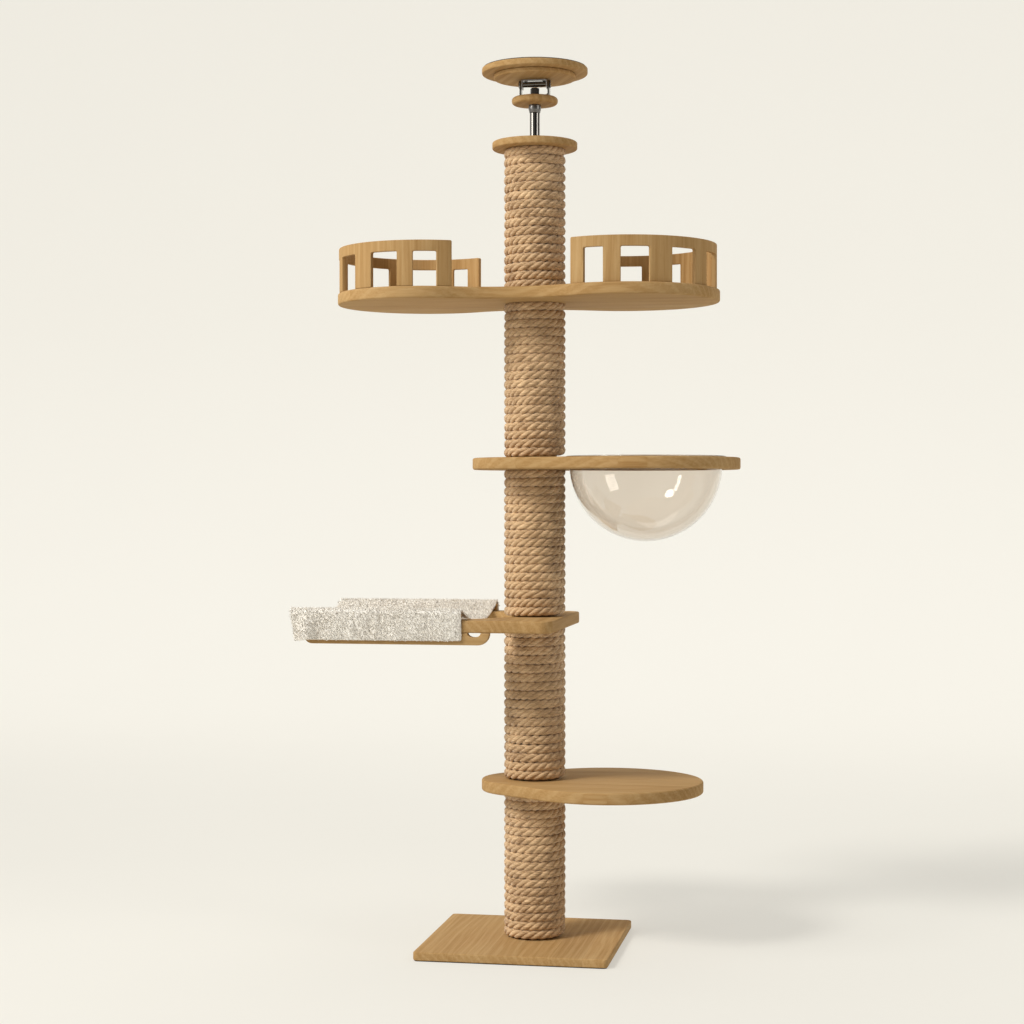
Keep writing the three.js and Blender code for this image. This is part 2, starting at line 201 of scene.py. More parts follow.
def sawn(name, outlines, bottom, top, edge, rings=3):  # a board cut to outlines, with rolled edges
    curve = bpy.data.curves.new(name, "CURVE")
    curve.dimensions = "2D"
    curve.fill_mode = "BOTH"
    curve.extrude = (top - bottom) / 2 - edge
    curve.bevel_depth = edge
    curve.bevel_resolution = rings
    curve.offset = -edge
    for outline in outlines:
        spline = curve.splines.new("POLY")
        spline.points.add(len(outline) - 1)
        for point, (x, y) in zip(spline.points, outline):
            point.co = (x, y, 0, 1)
        spline.use_cyclic_u = True
    holder = bpy.data.objects.new(name, curve)
    scene.collection.objects.link(holder)
    bpy.context.view_layer.update()
    mesh = bpy.data.meshes.new_from_object(holder.evaluated_get(bpy.context.evaluated_depsgraph_get()))
    bpy.data.objects.remove(holder)
    mesh.transform(Matrix.Translation((0, 0, (bottom + top) / 2)))
    return cleanMesh(mesh)


def turned(name, profile, segments=96, centre=(0, 0, 0)):  # (radius, height) points, closed, spun round Z
    points, faces, count = [], [], len(profile)
    for turn in range(segments):
        angle = fullTurn * turn / segments
        points += [(r * math.cos(angle), r * math.sin(angle), z) for r, z in profile]
    for turn in range(segments):
        here, there = turn * count, (turn + 1) % segments * count
        for step in range(count):
            after = (step + 1) % count
            faces.append((here + step, there + step, there + after, here + after))
    mesh = meshFromPoints(name, points, faces)
    mesh.transform(Matrix.Translation(centre))
    work = bmesh.new()
    work.from_mesh(mesh)
    bmesh.ops.remove_doubles(work, verts=work.verts, dist=1e-6)
    bmesh.ops.dissolve_degenerate(work, edges=work.edges, dist=1e-7)
    bmesh.ops.recalc_face_normals(work, faces=work.faces)
    work.to_mesh(mesh)
    work.free()
    return mesh


def softCorner(r, z, size, start, steps=4):  # quarter round of a turned profile, centred on (r, z)
    return [(r + size * math.cos(start + math.pi / 2 * s / steps),
             z + size * math.sin(start + math.pi / 2 * s / steps)) for s in range(steps + 1)]


def roundDisc(inner, outer, low, high, edge):
    return [(inner, low), *softCorner(outer - edge, low + edge, edge, -math.pi / 2),
            *softCorner(outer - edge, high - edge, edge, 0), (inner, high)]


# ---- camera, floor and light ----
studio = {
    "distance": 5.576, "side": -0.062, "eye": 1.208, "azimuth": 10.3, "tilt": 0.335, "lens": 72.07,
    "wall": 7.0, "bend": 2.5, "paper": (0.896, 0.871, 0.799), "floorGlow": 0.525, "wallGlow": 0.645,
    "matt": 0.4, "world": 0.5, "shadeSide": 0.06, "key": 50, "fill": 20, "top": 18, "sun": 1.75,
    "sunSpread": 13, "sunFrom": (-0.495, -0.558, 0.669), "farGlowFrom": 0.5, "farGlowTo": 6.0,
}


def setCamera():
    azimuth = math.radians(studio["azimuth"])
    right = Vector((math.cos(azimuth), math.sin(azimuth), 0))
    ahead = Vector((-math.sin(azimuth), math.cos(azimuth), 0))
    data = bpy.data.cameras.new("camera")
    data.lens = studio["lens"]
    data.sensor_width = 36
    data.clip_end = 100
    camera = bpy.data.objects.new("camera", data)
    camera.location = right * studio["side"] - ahead * studio["distance"] + up * studio["eye"]
    camera.rotation_euler = (math.radians(90 - studio["tilt"]), 0, azimuth)
    scene.collection.objects.link(camera)
    scene.camera = camera


def setStage():
    wide, wall, bend = 14.0, studio["wall"], studio["bend"]
    profile = [(-12.0, 0.0), (wall - bend, 0.0)]
    profile += [(wall - bend + bend * math.sin(a), bend - bend * math.cos(a))
                for a in [math.pi / 2 * s / 16 for s in range(1, 17)]]
    profile += [(wall, 12.0)]
    points = [(x, y, z) for y, z in profile for x in (-wide, wide)]
    faces = [(2 * i, 2 * i + 1, 2 * i + 3, 2 * i + 2) for i in range(len(profile) - 1)]
    material, pen, shader = newMaterial("studioPaper", {"Roughness": 0.9, "Specular IOR Level": 0.0})
    tone = pen.noise(objectPlace(pen), 1.5, 2)
    pale = studio["paper"]
    flat = [c * studio["matt"] for c in pale]
    matt = pen.mix(tone, (*flat, 1), (*[c * 0.97 for c in flat], 1))
    far = pen.step(pen.parts(objectPlace(pen))[1], studio["farGlowFrom"], studio["farGlowTo"])
    nearGlow, farGlow = [(*[c * studio[key] for c in pale], 1) for key in ("floorGlow", "wallGlow")]
    feed(pen, shader, {"Base Color": matt, "Emission Color": pen.mix(far, nearGlow, farGlow)})
    shader.inputs["Emission Strength"].default_value = 1.0
    floor = newPiece("studioFloor", meshFromPoints("studioFloor", points, faces), material)
    floor.location.z = -0.0005


def addLight(name, place, target, power, size, color):
    data = bpy.data.lights.new(name, "AREA")
    data.energy = power
    data.color = color
    data.shape = "RECTANGLE"
    data.size, data.size_y = size
    light = bpy.data.objects.new(name, data)
    light.location = place
    light.rotation_euler = (Vector(target) - Vector(place)).to_track_quat("-Z", "Y").to_euler()
    scene.collection.objects.link(light)


def setLights():
    world = bpy.data.worlds.new("world")
    scene.world = world
    world.use_nodes = True
    pen = Pen(world.node_tree)
    x, y = pen.parts(pen.node("ShaderNodeTexCoord", None, None, "Generated"))[:2]
    shaded = pen.step(x * 0.8 - y * 0.6, 0.15, 0.8)
    background = world.node_tree.nodes["Background"]
    background.inputs["Color"].default_value = (1.0, 0.985, 0.955, 1)
    strength = studio["world"] - shaded * (studio["world"] - studio["shadeSide"])
    world.node_tree.links.new(strength.socket, background.inputs["Strength"])
    middle = (0, 0, 1.25)
    addLight("keyLight", (-2.5, -1.75, 2.85), middle, studio["key"], (1.15, 1.5), (1, 0.985, 0.95))
    addLight("fillLight", (3.0, -1.1, 2.6), middle, studio["fill"], (1.0, 1.3), (1, 0.99, 0.97))
    addLight("topLight", (-0.6, 0.6, 5.2), middle, studio["top"], (2.6, 2.6), (1, 0.99, 0.96))
    data = bpy.data.lights.new("windowLight", "SUN")
    data.energy = studio["sun"]
    data.angle = math.radians(studio["sunSpread"])
    data.color = (1, 0.985, 0.955)
    sun = bpy.data.objects.new("windowLight", data)
    sun.rotation_euler = Vector(studio["sunFrom"]).to_track_quat("Z", "Y").to_euler()
    scene.collection.objects.link(sun)


setCamera()
setStage()
setLights()
print("camera, floor and light set")


# ---- wood ----
woodLook = {
    "light": (0.51, 0.335, 0.155), "middle": (0.43, 0.262, 0.108), "dark": (0.34, 0.190, 0.068),
    "stave": 0.085, "roughness": 0.68,
}


def woodMaterial(name, turn=(0, 0, 0), tint=1.0):
    material, pen, shader = newMaterial(name, {"Specular IOR Level": 0.05})
    place = pen.stretch(objectPlace(pen), (1, 1, 1), turn)
    x, y, z = pen.parts(place)
    lane = pen.math("FLOOR", y / woodLook["stave"])
    shift = pen.node("ShaderNodeTexWhiteNoise", {"noise_dimensions": "1D"}, {"W": lane}, "Value")
    along = pen.vector(x + shift * 3.7, y, z)
    sway = pen.noise(pen.stretch(along, (1.1, 5, 5)), 1.0, 3)
    rings = pen.math("SINE", (y + z * 0.7 + sway * 0.13 + shift * 0.9) * 260)
    streak = pen.noise(pen.stretch(along, (4, 190, 190)), 1.0, 6, 0.62)
    cloud = pen.noise(pen.stretch(along, (2.5, 9, 9)), 1.0, 2)
    pores = pen.noise(pen.stretch(along, (38, 1300, 1300)), 1.0, 2, 0.5)
    poreMask = pen.step(pores, 0.62, 0.74)
    ringMask = pen.step(rings, -0.2, 1.0)
    grain = ringMask * 0.10 + streak * 0.52 + cloud * 0.38
    color = pen.node("ShaderNodeValToRGB", {"stops": [
        (0.3, woodLook["dark"]), (0.48, woodLook["middle"]), (0.7, woodLook["light"])]}, {0: grain}, "Color")
    laneTone = shift * 0.10 + 0.95 * tint
    color = pen.mix(1.0, color, pen.vector(laneTone, laneTone, laneTone), "MULTIPLY")
    joint = pen.step(pen.math("ABSOLUTE", pen.math("FRACT", y / woodLook["stave"]) - 0.5), 0.488, 0.498)
    color = pen.mix(joint * 0.22, color, (*woodLook["dark"], 1))
    color = pen.mix(poreMask * 0.4, color, (*[c * 0.6 for c in woodLook["dark"]], 1))
    edge = pen.node("ShaderNodeNewGeometry", None, None, "Pointiness")
    worn = pen.step(edge, 0.53, 0.62)
    color = pen.mix(worn * 0.25, color, (0.62, 0.44, 0.24, 1))
    smudge = pen.noise(objectPlace(pen), 6, 4)
    height = grain * 0.5 + joint * -0.25 + poreMask * -0.6
    feed(pen, shader, {
        "Base Color": color, "Roughness": smudge * 0.16 + (woodLook["roughness"] - 0.08) + poreMask * 0.15,
        "Normal": pen.bump(height, 0.00025, 0.6)})
    return material


quarter = math.pi / 2
woodAlong = woodMaterial("oakAlongX")
woodAcross = woodMaterial("oakAlongY", (0, 0, quarter))
woodUpright = woodMaterial("oakUpright", (0, quarter, 0))
woodDisc = woodMaterial("oakDisc", (0, 0, 1.1), 1.0)
woodRod = woodMaterial("oakRod", (0.4, 0, quarter), 1.04)


# ---- base ----
baseLook = {"corner": 0.012, "edge": 0.0032}


def roundedBox(left, right, front, back, corner, steps=8):
    return (arc(right - corner, front + corner, corner, -quarter, 0, steps)
            + arc(right - corner, back - corner, corner, 0, quarter, steps)
            + arc(left + corner, back - corner, corner, quarter, 2 * quarter, steps)
            + arc(left + corner, front + corner, corner, 2 * quarter, 3 * quarter, steps))


def makeBase():
    low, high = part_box("base_board")
    outline = roundedBox(low.x, high.x, low.y, high.y, baseLook["corner"])
    plank = newPiece("baseBoard", sawn("baseBoard", [outline], low.z, high.z, baseLook["edge"]), woodAcross)
    settle(plank, "root", "wood", "base_board")


makeBase()


# ---- platforms ----
platformLook = {
    "edge": 0.0055, "steps": 72, "boltHole": 0.0063, "waist": 0.175, "waistSteps": 24, "leftLobe": 0.239,
}


def teardrop(postEnd, lobe, reach):
    tangent = math.acos((postEnd - lobe) / reach)
    steps = platformLook["steps"]
    return (arc(reach, 0, lobe, -tangent, tangent, steps)
            + arc(0, 0, postEnd, tangent, fullTurn - tangent, steps))


def peanut(left, right, waist):  # lobes as (x, radius), joined by concave arcs tangent to both
    (leftX, leftR), (rightX, rightR) = left, right
    a, b = rightR - waist, leftR - waist
    linear = a * leftX - b * rightX
    constant = a * leftX ** 2 - b * rightX ** 2
    constant += b * (rightR ** 2 - waist ** 2) - a * (leftR ** 2 - waist ** 2)
    x = (linear + math.sqrt(linear ** 2 - (a - b) * constant)) / (a - b)
    fillet = ((x - leftX) ** 2 + waist ** 2 - leftR ** 2) / (2 * b)
    y = waist + fillet
    toRight, toLeft = math.atan2(y, x - rightX), math.atan2(y, x - leftX)
    steps, bends = platformLook["steps"], platformLook["waistSteps"]
    return (arc(rightX, 0, rightR, -toRight, toRight, steps)
            + arc(x, y, fillet, toRight - math.pi, toLeft - math.pi, bends)[1:-1]
            + arc(leftX, 0, leftR, toLeft, fullTurn - toLeft, steps)
            + arc(x, -y, fillet, math.pi - toLeft, math.pi - toRight, bends)[1:-1])


def makePlatform(node, body, outlines):
    low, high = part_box(node)
    hole = arc(0, 0, platformLook["boltHole"], 0, fullTurn * 23 / 24, 23)
    mesh = sawn(node, [*outlines, hole], low.z, high.z, platformLook["edge"])
    return settle(newPiece(node + "Board", mesh, woodAlong), body, "wood", node)


def makePlatforms():
    low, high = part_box("lower_shelf")
    makePlatform("lower_shelf", "lower_shelf", [teardrop(-low.x, high.y, high.x - high.y)])
    low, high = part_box("bowl_shelf")
    bowlLow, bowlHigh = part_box("bowl")
    mouth = arc((bowlLow.x + bowlHigh.x) / 2, 0, bowlLook["radius"] + 0.0015, 0, fullTurn * 119 / 120, 119)
    makePlatform("bowl_shelf", "bowl_shelf", [teardrop(-low.x, high.y, high.x - high.y), mouth])
    low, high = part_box("twin_shelf")
    leftR, rightR = platformLook["leftLobe"], high.y
    outline = peanut((low.x + leftR, leftR), (high.x - rightR, rightR), platformLook["waist"])
    makePlatform("twin_shelf", "twin_shelf", [outline])


bowlLook = {"radius": 0.2055, "wall": 0.004, "segments": 128, "rings": 28, "roll": 0.0018}


# ---- fences round the twin beds ----
fenceLook = {
    "thickness": 0.0115, "windowHeight": 0.092, "corner": 0.004, "topCorner": 0.004, "edge": 0.0014,
    "bendStep": 3,
}
# degrees from the outermost point, positive towards the front
leftFence = {
    "name": "fenceLeft", "radius": 0.236, "turn": math.pi, "way": 1, "front": 120, "back": 119.5,
    "windows": ((94.5, 110), (65, 84), (31, 50), (5, 21), (-21, -5), (-51, -33), (-86, -67), (-109.5, -98)),
}
rightFence = {
    "name": "fenceRight", "radius": 0.243, "turn": 0.0, "way": -1, "front": 120, "back": 111,
    "windows": ((97.5, 110.5), (68.5, 86.5), (35, 53.5), (5, 22.5), (-17, -5), (-45, -28), (-74, -57),
                (-101.5, -86.5)),
}


def sliceThrough(mesh, normal, places):  # cut a mesh through so that it can bend there
    work = bmesh.new()
    work.from_mesh(mesh)
    for place in places:
        everything = work.verts[:] + work.edges[:] + work.faces[:]
        bmesh.ops.bisect_plane(work, geom=everything, plane_co=place, plane_no=normal, dist=1e-6)
    work.to_mesh(mesh)
    work.free()


def combOutline(start, end, height, windows):  # a strip with the windows' notches in its lower edge
    small, top, lintel = fenceLook["corner"], fenceLook["topCorner"], fenceLook["windowHeight"]
    outline = [(start, 0)]
    for left, right in windows:
        outline.append((left, 0))
        outline += arc(left + small, lintel - small, small, 2 * quarter, quarter, 4)
        outline += arc(right - small, lintel - small, small, quarter, 0, 4)
        outline.append((right, 0))
    outline.append((end, 0))
    outline += arc(end - top, height - top, top, 0, quarter, 4)
    return outline + arc(start + top, height - top, top, quarter, 2 * quarter, 4)


def makeFence(node, look):
    low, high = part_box(node)
    shelfLow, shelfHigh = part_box("twin_shelf")
    middle = look["radius"] - fenceLook["thickness"] / 2
    centreX = shelfHigh.x - shelfHigh.y if look["way"] < 0 else shelfLow.x + platformLook["leftLobe"]

    def along(*angles):  # lengths along the bent wall, in rising order
        return sorted(look["way"] * math.radians(angle) * middle for angle in angles)

    start, end = along(look["front"], -look["back"])
    windows = sorted(along(*window) for window in look["windows"])
    half = fenceLook["thickness"] / 2
    outline = combOutline(start, end, high.z - low.z, windows)
    mesh = sawn(node, [outline], -half, half, fenceLook["edge"], 2)
    cuts = int((look["front"] + look["back"]) / fenceLook["bendStep"])
    sliceThrough(mesh, (1, 0, 0), [(start + (end - start) * cut / cuts, 0, 0) for cut in range(1, cuts)])
    for vertex in mesh.vertices:
        length, height, out = vertex.co
        angle, reach = length / middle + look["turn"], middle + out
        vertex.co = (centreX + reach * math.cos(angle), reach * math.sin(angle), low.z + height)
    cleanMesh(mesh)
    settle(newPiece(look["name"], mesh, woodUpright), "twin_shelf", "wood", node)


makePlatforms()
makeFence("fence_left", leftFence)
makeFence("fence_right", rightFence)
print("base, platforms and fences made")


# ---- rope wound on the post ----
ropeLook = {
    "pitch": 0.0234, "strand": 0.0067, "rise": 0.0066, "depth": 0.0044, "lay": 0.064, "step": 0.0046,
    "sides": 9,
    "light": (0.82, 0.57, 0.32), "dark": (0.27, 0.145, 0.058),
}


def ropeMaterial():
    material, pen, shader = newMaterial("juteRope", {"Specular IOR Level": 0.25, "Sheen Weight": 0.25,
                                                      "Sheen Roughness": 0.6})
    ring = pen.node("ShaderNodeAttribute", {"attribute_name": "ring"}, None, "Vector")
    along = pen.node("ShaderNodeAttribute", {"attribute_name": "along"}, None, "Fac")
    twisted = pen.node("ShaderNodeVectorRotate", {"rotation_type": "Z_AXIS"}, {
        "Vector": ring, "Angle": along * -150})
    x, y = pen.parts(twisted)[:2]
    yarn = pen.noise(pen.vector(x, y, along * 9), 3.4, 2, 0.5)
    fibre = pen.noise(pen.vector(x, y, along * 30), 13, 3, 0.6)
    place = objectPlace(pen)
    blotch = pen.noise(place, 24, 3)
    section = pen.noise(place, 5, 2)
    shade = yarn * 0.45 + fibre * 0.3 + blotch * 0.25
    color = pen.node("ShaderNodeValToRGB", {"stops": [
        (0.40, ropeLook["dark"]), (0.5, [(a + b) / 2 for a, b in zip(ropeLook["light"], ropeLook["dark"])]),
        (0.60, ropeLook["light"])]}, {0: shade}, "Color")
    warm = pen.step(section, 0.4, 0.62)
    color = pen.mix(warm * 0.3, color, (0.62, 0.40, 0.20, 1))
    height = yarn * 1.0 + fibre * 0.45
    feed(pen, shader, {"Base Color": color, "Roughness": fibre * 0.2 + 0.72,
                       "Normal": pen.bump(height, 0.0016, 0.9)})
    return material


def ropeTree(material):
    tree = bpy.data.node_groups.new("laidRopeCoil", "GeometryNodeTree")
    tree.interface.new_socket("Geometry", in_out="INPUT", socket_type="NodeSocketGeometry")
    tree.interface.new_socket("Geometry", in_out="OUTPUT", socket_type="NodeSocketGeometry")
    for name in ("Coil Radius", "Bottom", "Pitch", "Turns", "Strand Depth", "Strand Rise", "Strand Radius",
                 "Lay", "Seed"):
        tree.interface.new_socket(name, in_out="INPUT", socket_type="NodeSocketFloat")
    for name in ("Points", "Sides"):
        tree.interface.new_socket(name, in_out="INPUT", socket_type="NodeSocketInt")
    pen = Pen(tree)
    given = tree.nodes.new("NodeGroupInput")
    value = {output.name: Wire(pen, output) for output in given.outputs if output.name}
    index = pen.node("GeometryNodeInputIndex")
    turn = index / (value["Points"] - 1) * value["Turns"]
    whole = pen.math("FLOOR", turn)
    part = turn - whole
    climb = part * 0.25 + pen.step(part, 0.55, 1.0) * 0.75
    angle = turn * fullTurn + math.radians(118)
    start = pen.step(turn, 0.0, 0.05)
    end = pen.step(value["Turns"] - turn, 0.0, 0.05)
    wander = pen.node("ShaderNodeTexNoise", {"noise_dimensions": "1D"},
                      {"W": turn * 2.3 + value["Seed"], "Scale": 1.0, "Detail": 2.0}, "Fac") - 0.5
    lean = pen.node("ShaderNodeTexNoise", {"noise_dimensions": "1D"},
                    {"W": turn * 1.7 + value["Seed"] + 40, "Scale": 1.0, "Detail": 2.0}, "Fac") - 0.5
    twist = lean * 5
    coil = value["Coil Radius"] + lean * 0.0012 - (2 - start - end) * 0.012
    length = turn * fullTurn * value["Coil Radius"]
    height = value["Bottom"] + value["Pitch"] * (whole + climb) + wander * 0.0034
    strands = tree.nodes.new("GeometryNodeJoinGeometry")
    for number in range(3):
        line = pen.node("GeometryNodeMeshLine", None, {"Count": value["Points"]})
        curve = pen.node("GeometryNodeMeshToCurve", None, {0: line})
        spin = length * fullTurn / value["Lay"] + fullTurn * number / 3 + twist
        reach = coil + value["Strand Depth"] * pen.math("COSINE", spin)
        place = pen.vector(reach * pen.math("COSINE", angle), reach * pen.math("SINE", angle),
                           height + value["Strand Rise"] * pen.math("SINE", spin))
        placed = pen.node("GeometryNodeSetPosition", None, {"Geometry": curve, "Position": place})
        marked = pen.node("GeometryNodeStoreNamedAttribute", {"data_type": "FLOAT", "domain": "POINT"},
                          {"Geometry": placed, "Name": "along", "Value": length + number * 0.31})
        tree.links.new(marked.socket, strands.inputs[0])
    circle = pen.node("GeometryNodeCurvePrimitiveCircle", None,
                      {"Resolution": value["Sides"], "Radius": value["Strand Radius"]})
    spot = pen.node("GeometryNodeInputPosition")
    unit = pen.node("ShaderNodeVectorMath", {"operation": "NORMALIZE"}, {0: spot})
    profile = pen.node("GeometryNodeStoreNamedAttribute", {"data_type": "FLOAT_VECTOR", "domain": "POINT"},
                       {"Geometry": circle, "Name": "ring", "Value": unit})
    tube = pen.node("GeometryNodeCurveToMesh", None,
                    {"Curve": Wire(pen, strands.outputs[0]), "Profile Curve": profile, "Fill Caps": True})
    smooth = pen.node("GeometryNodeSetShadeSmooth", None, {0: tube})
    real = pen.node("GeometryNodeRealizeInstances", None, {0: smooth})
    done = pen.node("GeometryNodeSetMaterial", None, {"Geometry": real, "Material": material})
    given = tree.nodes.new("NodeGroupOutput")
    tree.links.new(done.socket, given.inputs[0])
    return tree


def growPiece(name, tree, values, material):  # run a Geometry Nodes tree and keep its plain mesh
    piece = bpy.data.objects.new(name, bpy.data.meshes.new(name))
    scene.collection.objects.link(piece)
    modifier = piece.modifiers.new("grow", "NODES")
    modifier.node_group = tree
    for item in tree.interface.items_tree:
        if item.in_out == "INPUT" and item.name in values:
            modifier[item.identifier] = values[item.name]
    bake(piece)
    if not piece.data.materials:
        piece.data.materials.append(material)
    return piece


def makeRope():
    material = ropeMaterial()
    tree = ropeTree(material)
    halfRow = ropeLook["rise"] + ropeLook["strand"]
    for number in range(1, 6):
        low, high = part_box(f"rope_wrap_{number}")
        bottom = low.z + halfRow
        rise = high.z - low.z - 2 * halfRow
        turns = round(rise / ropeLook["pitch"])
        coil = high.x - ropeLook["depth"] - ropeLook["strand"]
        points = int((turns + 0.98) * fullTurn * coil / ropeLook["step"])
        piece = growPiece(f"ropeSection{number}", tree, {
            "Coil Radius": coil, "Bottom": bottom, "Pitch": rise / turns, "Turns": turns + 0.98,
            "Strand Depth": ropeLook["depth"], "Strand Rise": ropeLook["rise"],
            "Strand Radius": ropeLook["strand"], "Lay": ropeLook["lay"], "Seed": number * 7.3,
            "Points": points, "Sides": ropeLook["sides"]}, material)
        settle(piece, "root", "rope", f"rope_wrap_{number}")


makeRope()
print("rope wound")


# ---- metals and rubber ----
def metalMaterial(name, tone, roughness, scale=60, speckle=0.12, metallic=1.0):
    material, pen, shader = newMaterial(name, {"Metallic": metallic})
    place = objectPlace(pen)
    film = pen.noise(place, scale, 3)
    spangle = pen.node("ShaderNodeTexVoronoi", {"feature": "F1"}, {
        "Vector": place, "Scale": scale * 5}, "Color")
    patch = pen.parts(spangle)[0]
    scratch = pen.noise(pen.stretch(place, (900, 900, 40)), 1.0, 3)
    light = (*tone, 1)
    color = pen.mix(patch * speckle + film * speckle, light, (*[c * 0.55 for c in tone], 1))
    feed(pen, shader, {"Base Color": color, "Roughness": film * 0.12 + scratch * 0.06 + (roughness - 0.09),
                       "Normal": pen.bump(scratch, 0.00004, 0.4)})
    return material


chrome = metalMaterial("chrome", (0.20, 0.188, 0.17), 0.14, 30, 0.04)
zinc = metalMaterial("zincSteel", (0.58, 0.58, 0.59), 0.36)
blackSteel = metalMaterial("blackSteel", (0.075, 0.068, 0.062), 0.42, 60, 0.3, 0.85)
greySteel = metalMaterial("greySteel", (0.22, 0.21, 0.20), 0.3, 60, 0.2)


def rubberMaterial():
    material, pen, shader = newMaterial("rubber", {"Specular IOR Level": 0.3})
    place = objectPlace(pen)
    grit = pen.noise(place, 700, 3)
    dust = pen.noise(place, 9, 3)
    color = pen.mix(pen.step(dust, 0.45, 0.7) * 0.4, (0.03, 0.029, 0.027, 1), (0.09, 0.084, 0.075, 1))
    feed(pen, shader, {
        "Base Color": color, "Roughness": grit * 0.2 + 0.66, "Normal": pen.bump(grit, 0.0003, 0.7)})
    return material


rubber = rubberMaterial()


def rawWoodMaterial():
    material, pen, shader = newMaterial("softwood", {"Specular IOR Level": 0.2})
    x, y = pen.parts(objectPlace(pen))[:2]
    rings = pen.math("SINE", pen.math("SQRT", x * x + (y + 0.03) * (y + 0.03)) * 2100)
    fleck = pen.noise(pen.stretch(objectPlace(pen), (300, 300, 20)), 1.0, 4)
    color = pen.mix(pen.step(rings, -0.4, 0.9) * 0.6, (0.66, 0.49, 0.29, 1), (0.50, 0.33, 0.16, 1))
    color = pen.mix(pen.step(fleck, 0.5, 0.7) * 0.3, color, (0.36, 0.23, 0.11, 1))
    feed(pen, shader, {
        "Base Color": color, "Roughness": fleck * 0.2 + 0.65, "Normal": pen.bump(fleck, 0.0002)})
    return material


def cardMaterial():
    material, pen, shader = newMaterial("woundCard", {"Specular IOR Level": 0.15})
    x, y, z = pen.parts(objectPlace(pen))
    seam = pen.math("FRACT", z * 9 + pen.math("ARCTAN2", y, x) / fullTurn)
    fibre = pen.noise(pen.stretch(objectPlace(pen), (90, 90, 260)), 1.0, 4)
    color = pen.mix(fibre, (0.42, 0.28, 0.15, 1), (0.56, 0.40, 0.24, 1))
    color = pen.mix(pen.step(seam, 0.96, 1.0) * 0.7, color, (0.2, 0.12, 0.06, 1))
    feed(pen, shader, {
        "Base Color": color, "Roughness": fibre * 0.15 + 0.75, "Normal": pen.bump(fibre, 0.0003)})
    return material


def paintHiddenNodes():  # the frame's own solids inside the post and the hammock
    looks = {"post_tube": cardMaterial(), "plug": rawWoodMaterial(), "joining_stud": zinc, "base_bolt": zinc}
    for name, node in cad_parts.items():
        for start, material in looks.items():
            if name.startswith(start):
                node.material_slots[0].material = material


paintHiddenNodes()


def makeMat():
    low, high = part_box("base_mat")
    outline = roundedBox(low.x, high.x, low.y, high.y, baseLook["corner"] * 0.8)
    mat = newPiece("baseMat", sawn("baseMat", [outline], low.z, high.z, 0.0004, 1), rubber)
    settle(mat, "root", "rubber", "base_mat")


makeMat()


# ---- turned and bent pieces of the screw jack ----
def drilled(mesh, *cutters):  # cut away closed meshes exactly
    holder = bpy.data.objects.new("blank", mesh)
    scene.collection.objects.link(holder)
    tools = []
    for cutter in cutters:
        tool = bpy.data.objects.new("cutter", cutter)
        scene.collection.objects.link(tool)
        tools.append(tool)
        cut = holder.modifiers.new("cut", "BOOLEAN")
        cut.operation = "DIFFERENCE"
        cut.solver = "EXACT"
        cut.object = tool
    bpy.context.view_layer.update()
    result = bpy.data.meshes.new_from_object(holder.evaluated_get(bpy.context.evaluated_depsgraph_get()))
    for thing in [holder, *tools]:
        bpy.data.objects.remove(thing)
    return result


def plainRod(radius, low, high, segments=48, chamfer=0.0005):
    side = radius - chamfer
    profile = [(0, low), (side, low), (radius, low + chamfer),
               (radius, high - chamfer), (side, high), (0, high)]
    return turned("rod", profile, segments)


def turnMesh(mesh, axis, angle=quarter):
    mesh.transform(Matrix.Rotation(angle, 4, axis))
    return mesh


def move(mesh, x=0.0, y=0.0, z=0.0):
    mesh.transform(Matrix.Translation((x, y, z)))
    return mesh


jackLook = {
    "gap": 0.0003, "neck": 0.009, "nut": 0.022, "flange": 0.034, "flangeHeight": 0.005, "capEdge": 0.004,
    "discEdge": 0.0085, "padEdge": 0.0035, "plate": 0.004, "bend": 0.008, "lugPlate": 0.003, "lugBend": 0.005,
    "clipRadius": 0.0108, "clipWidth": 0.0024, "ridges": 22,
}


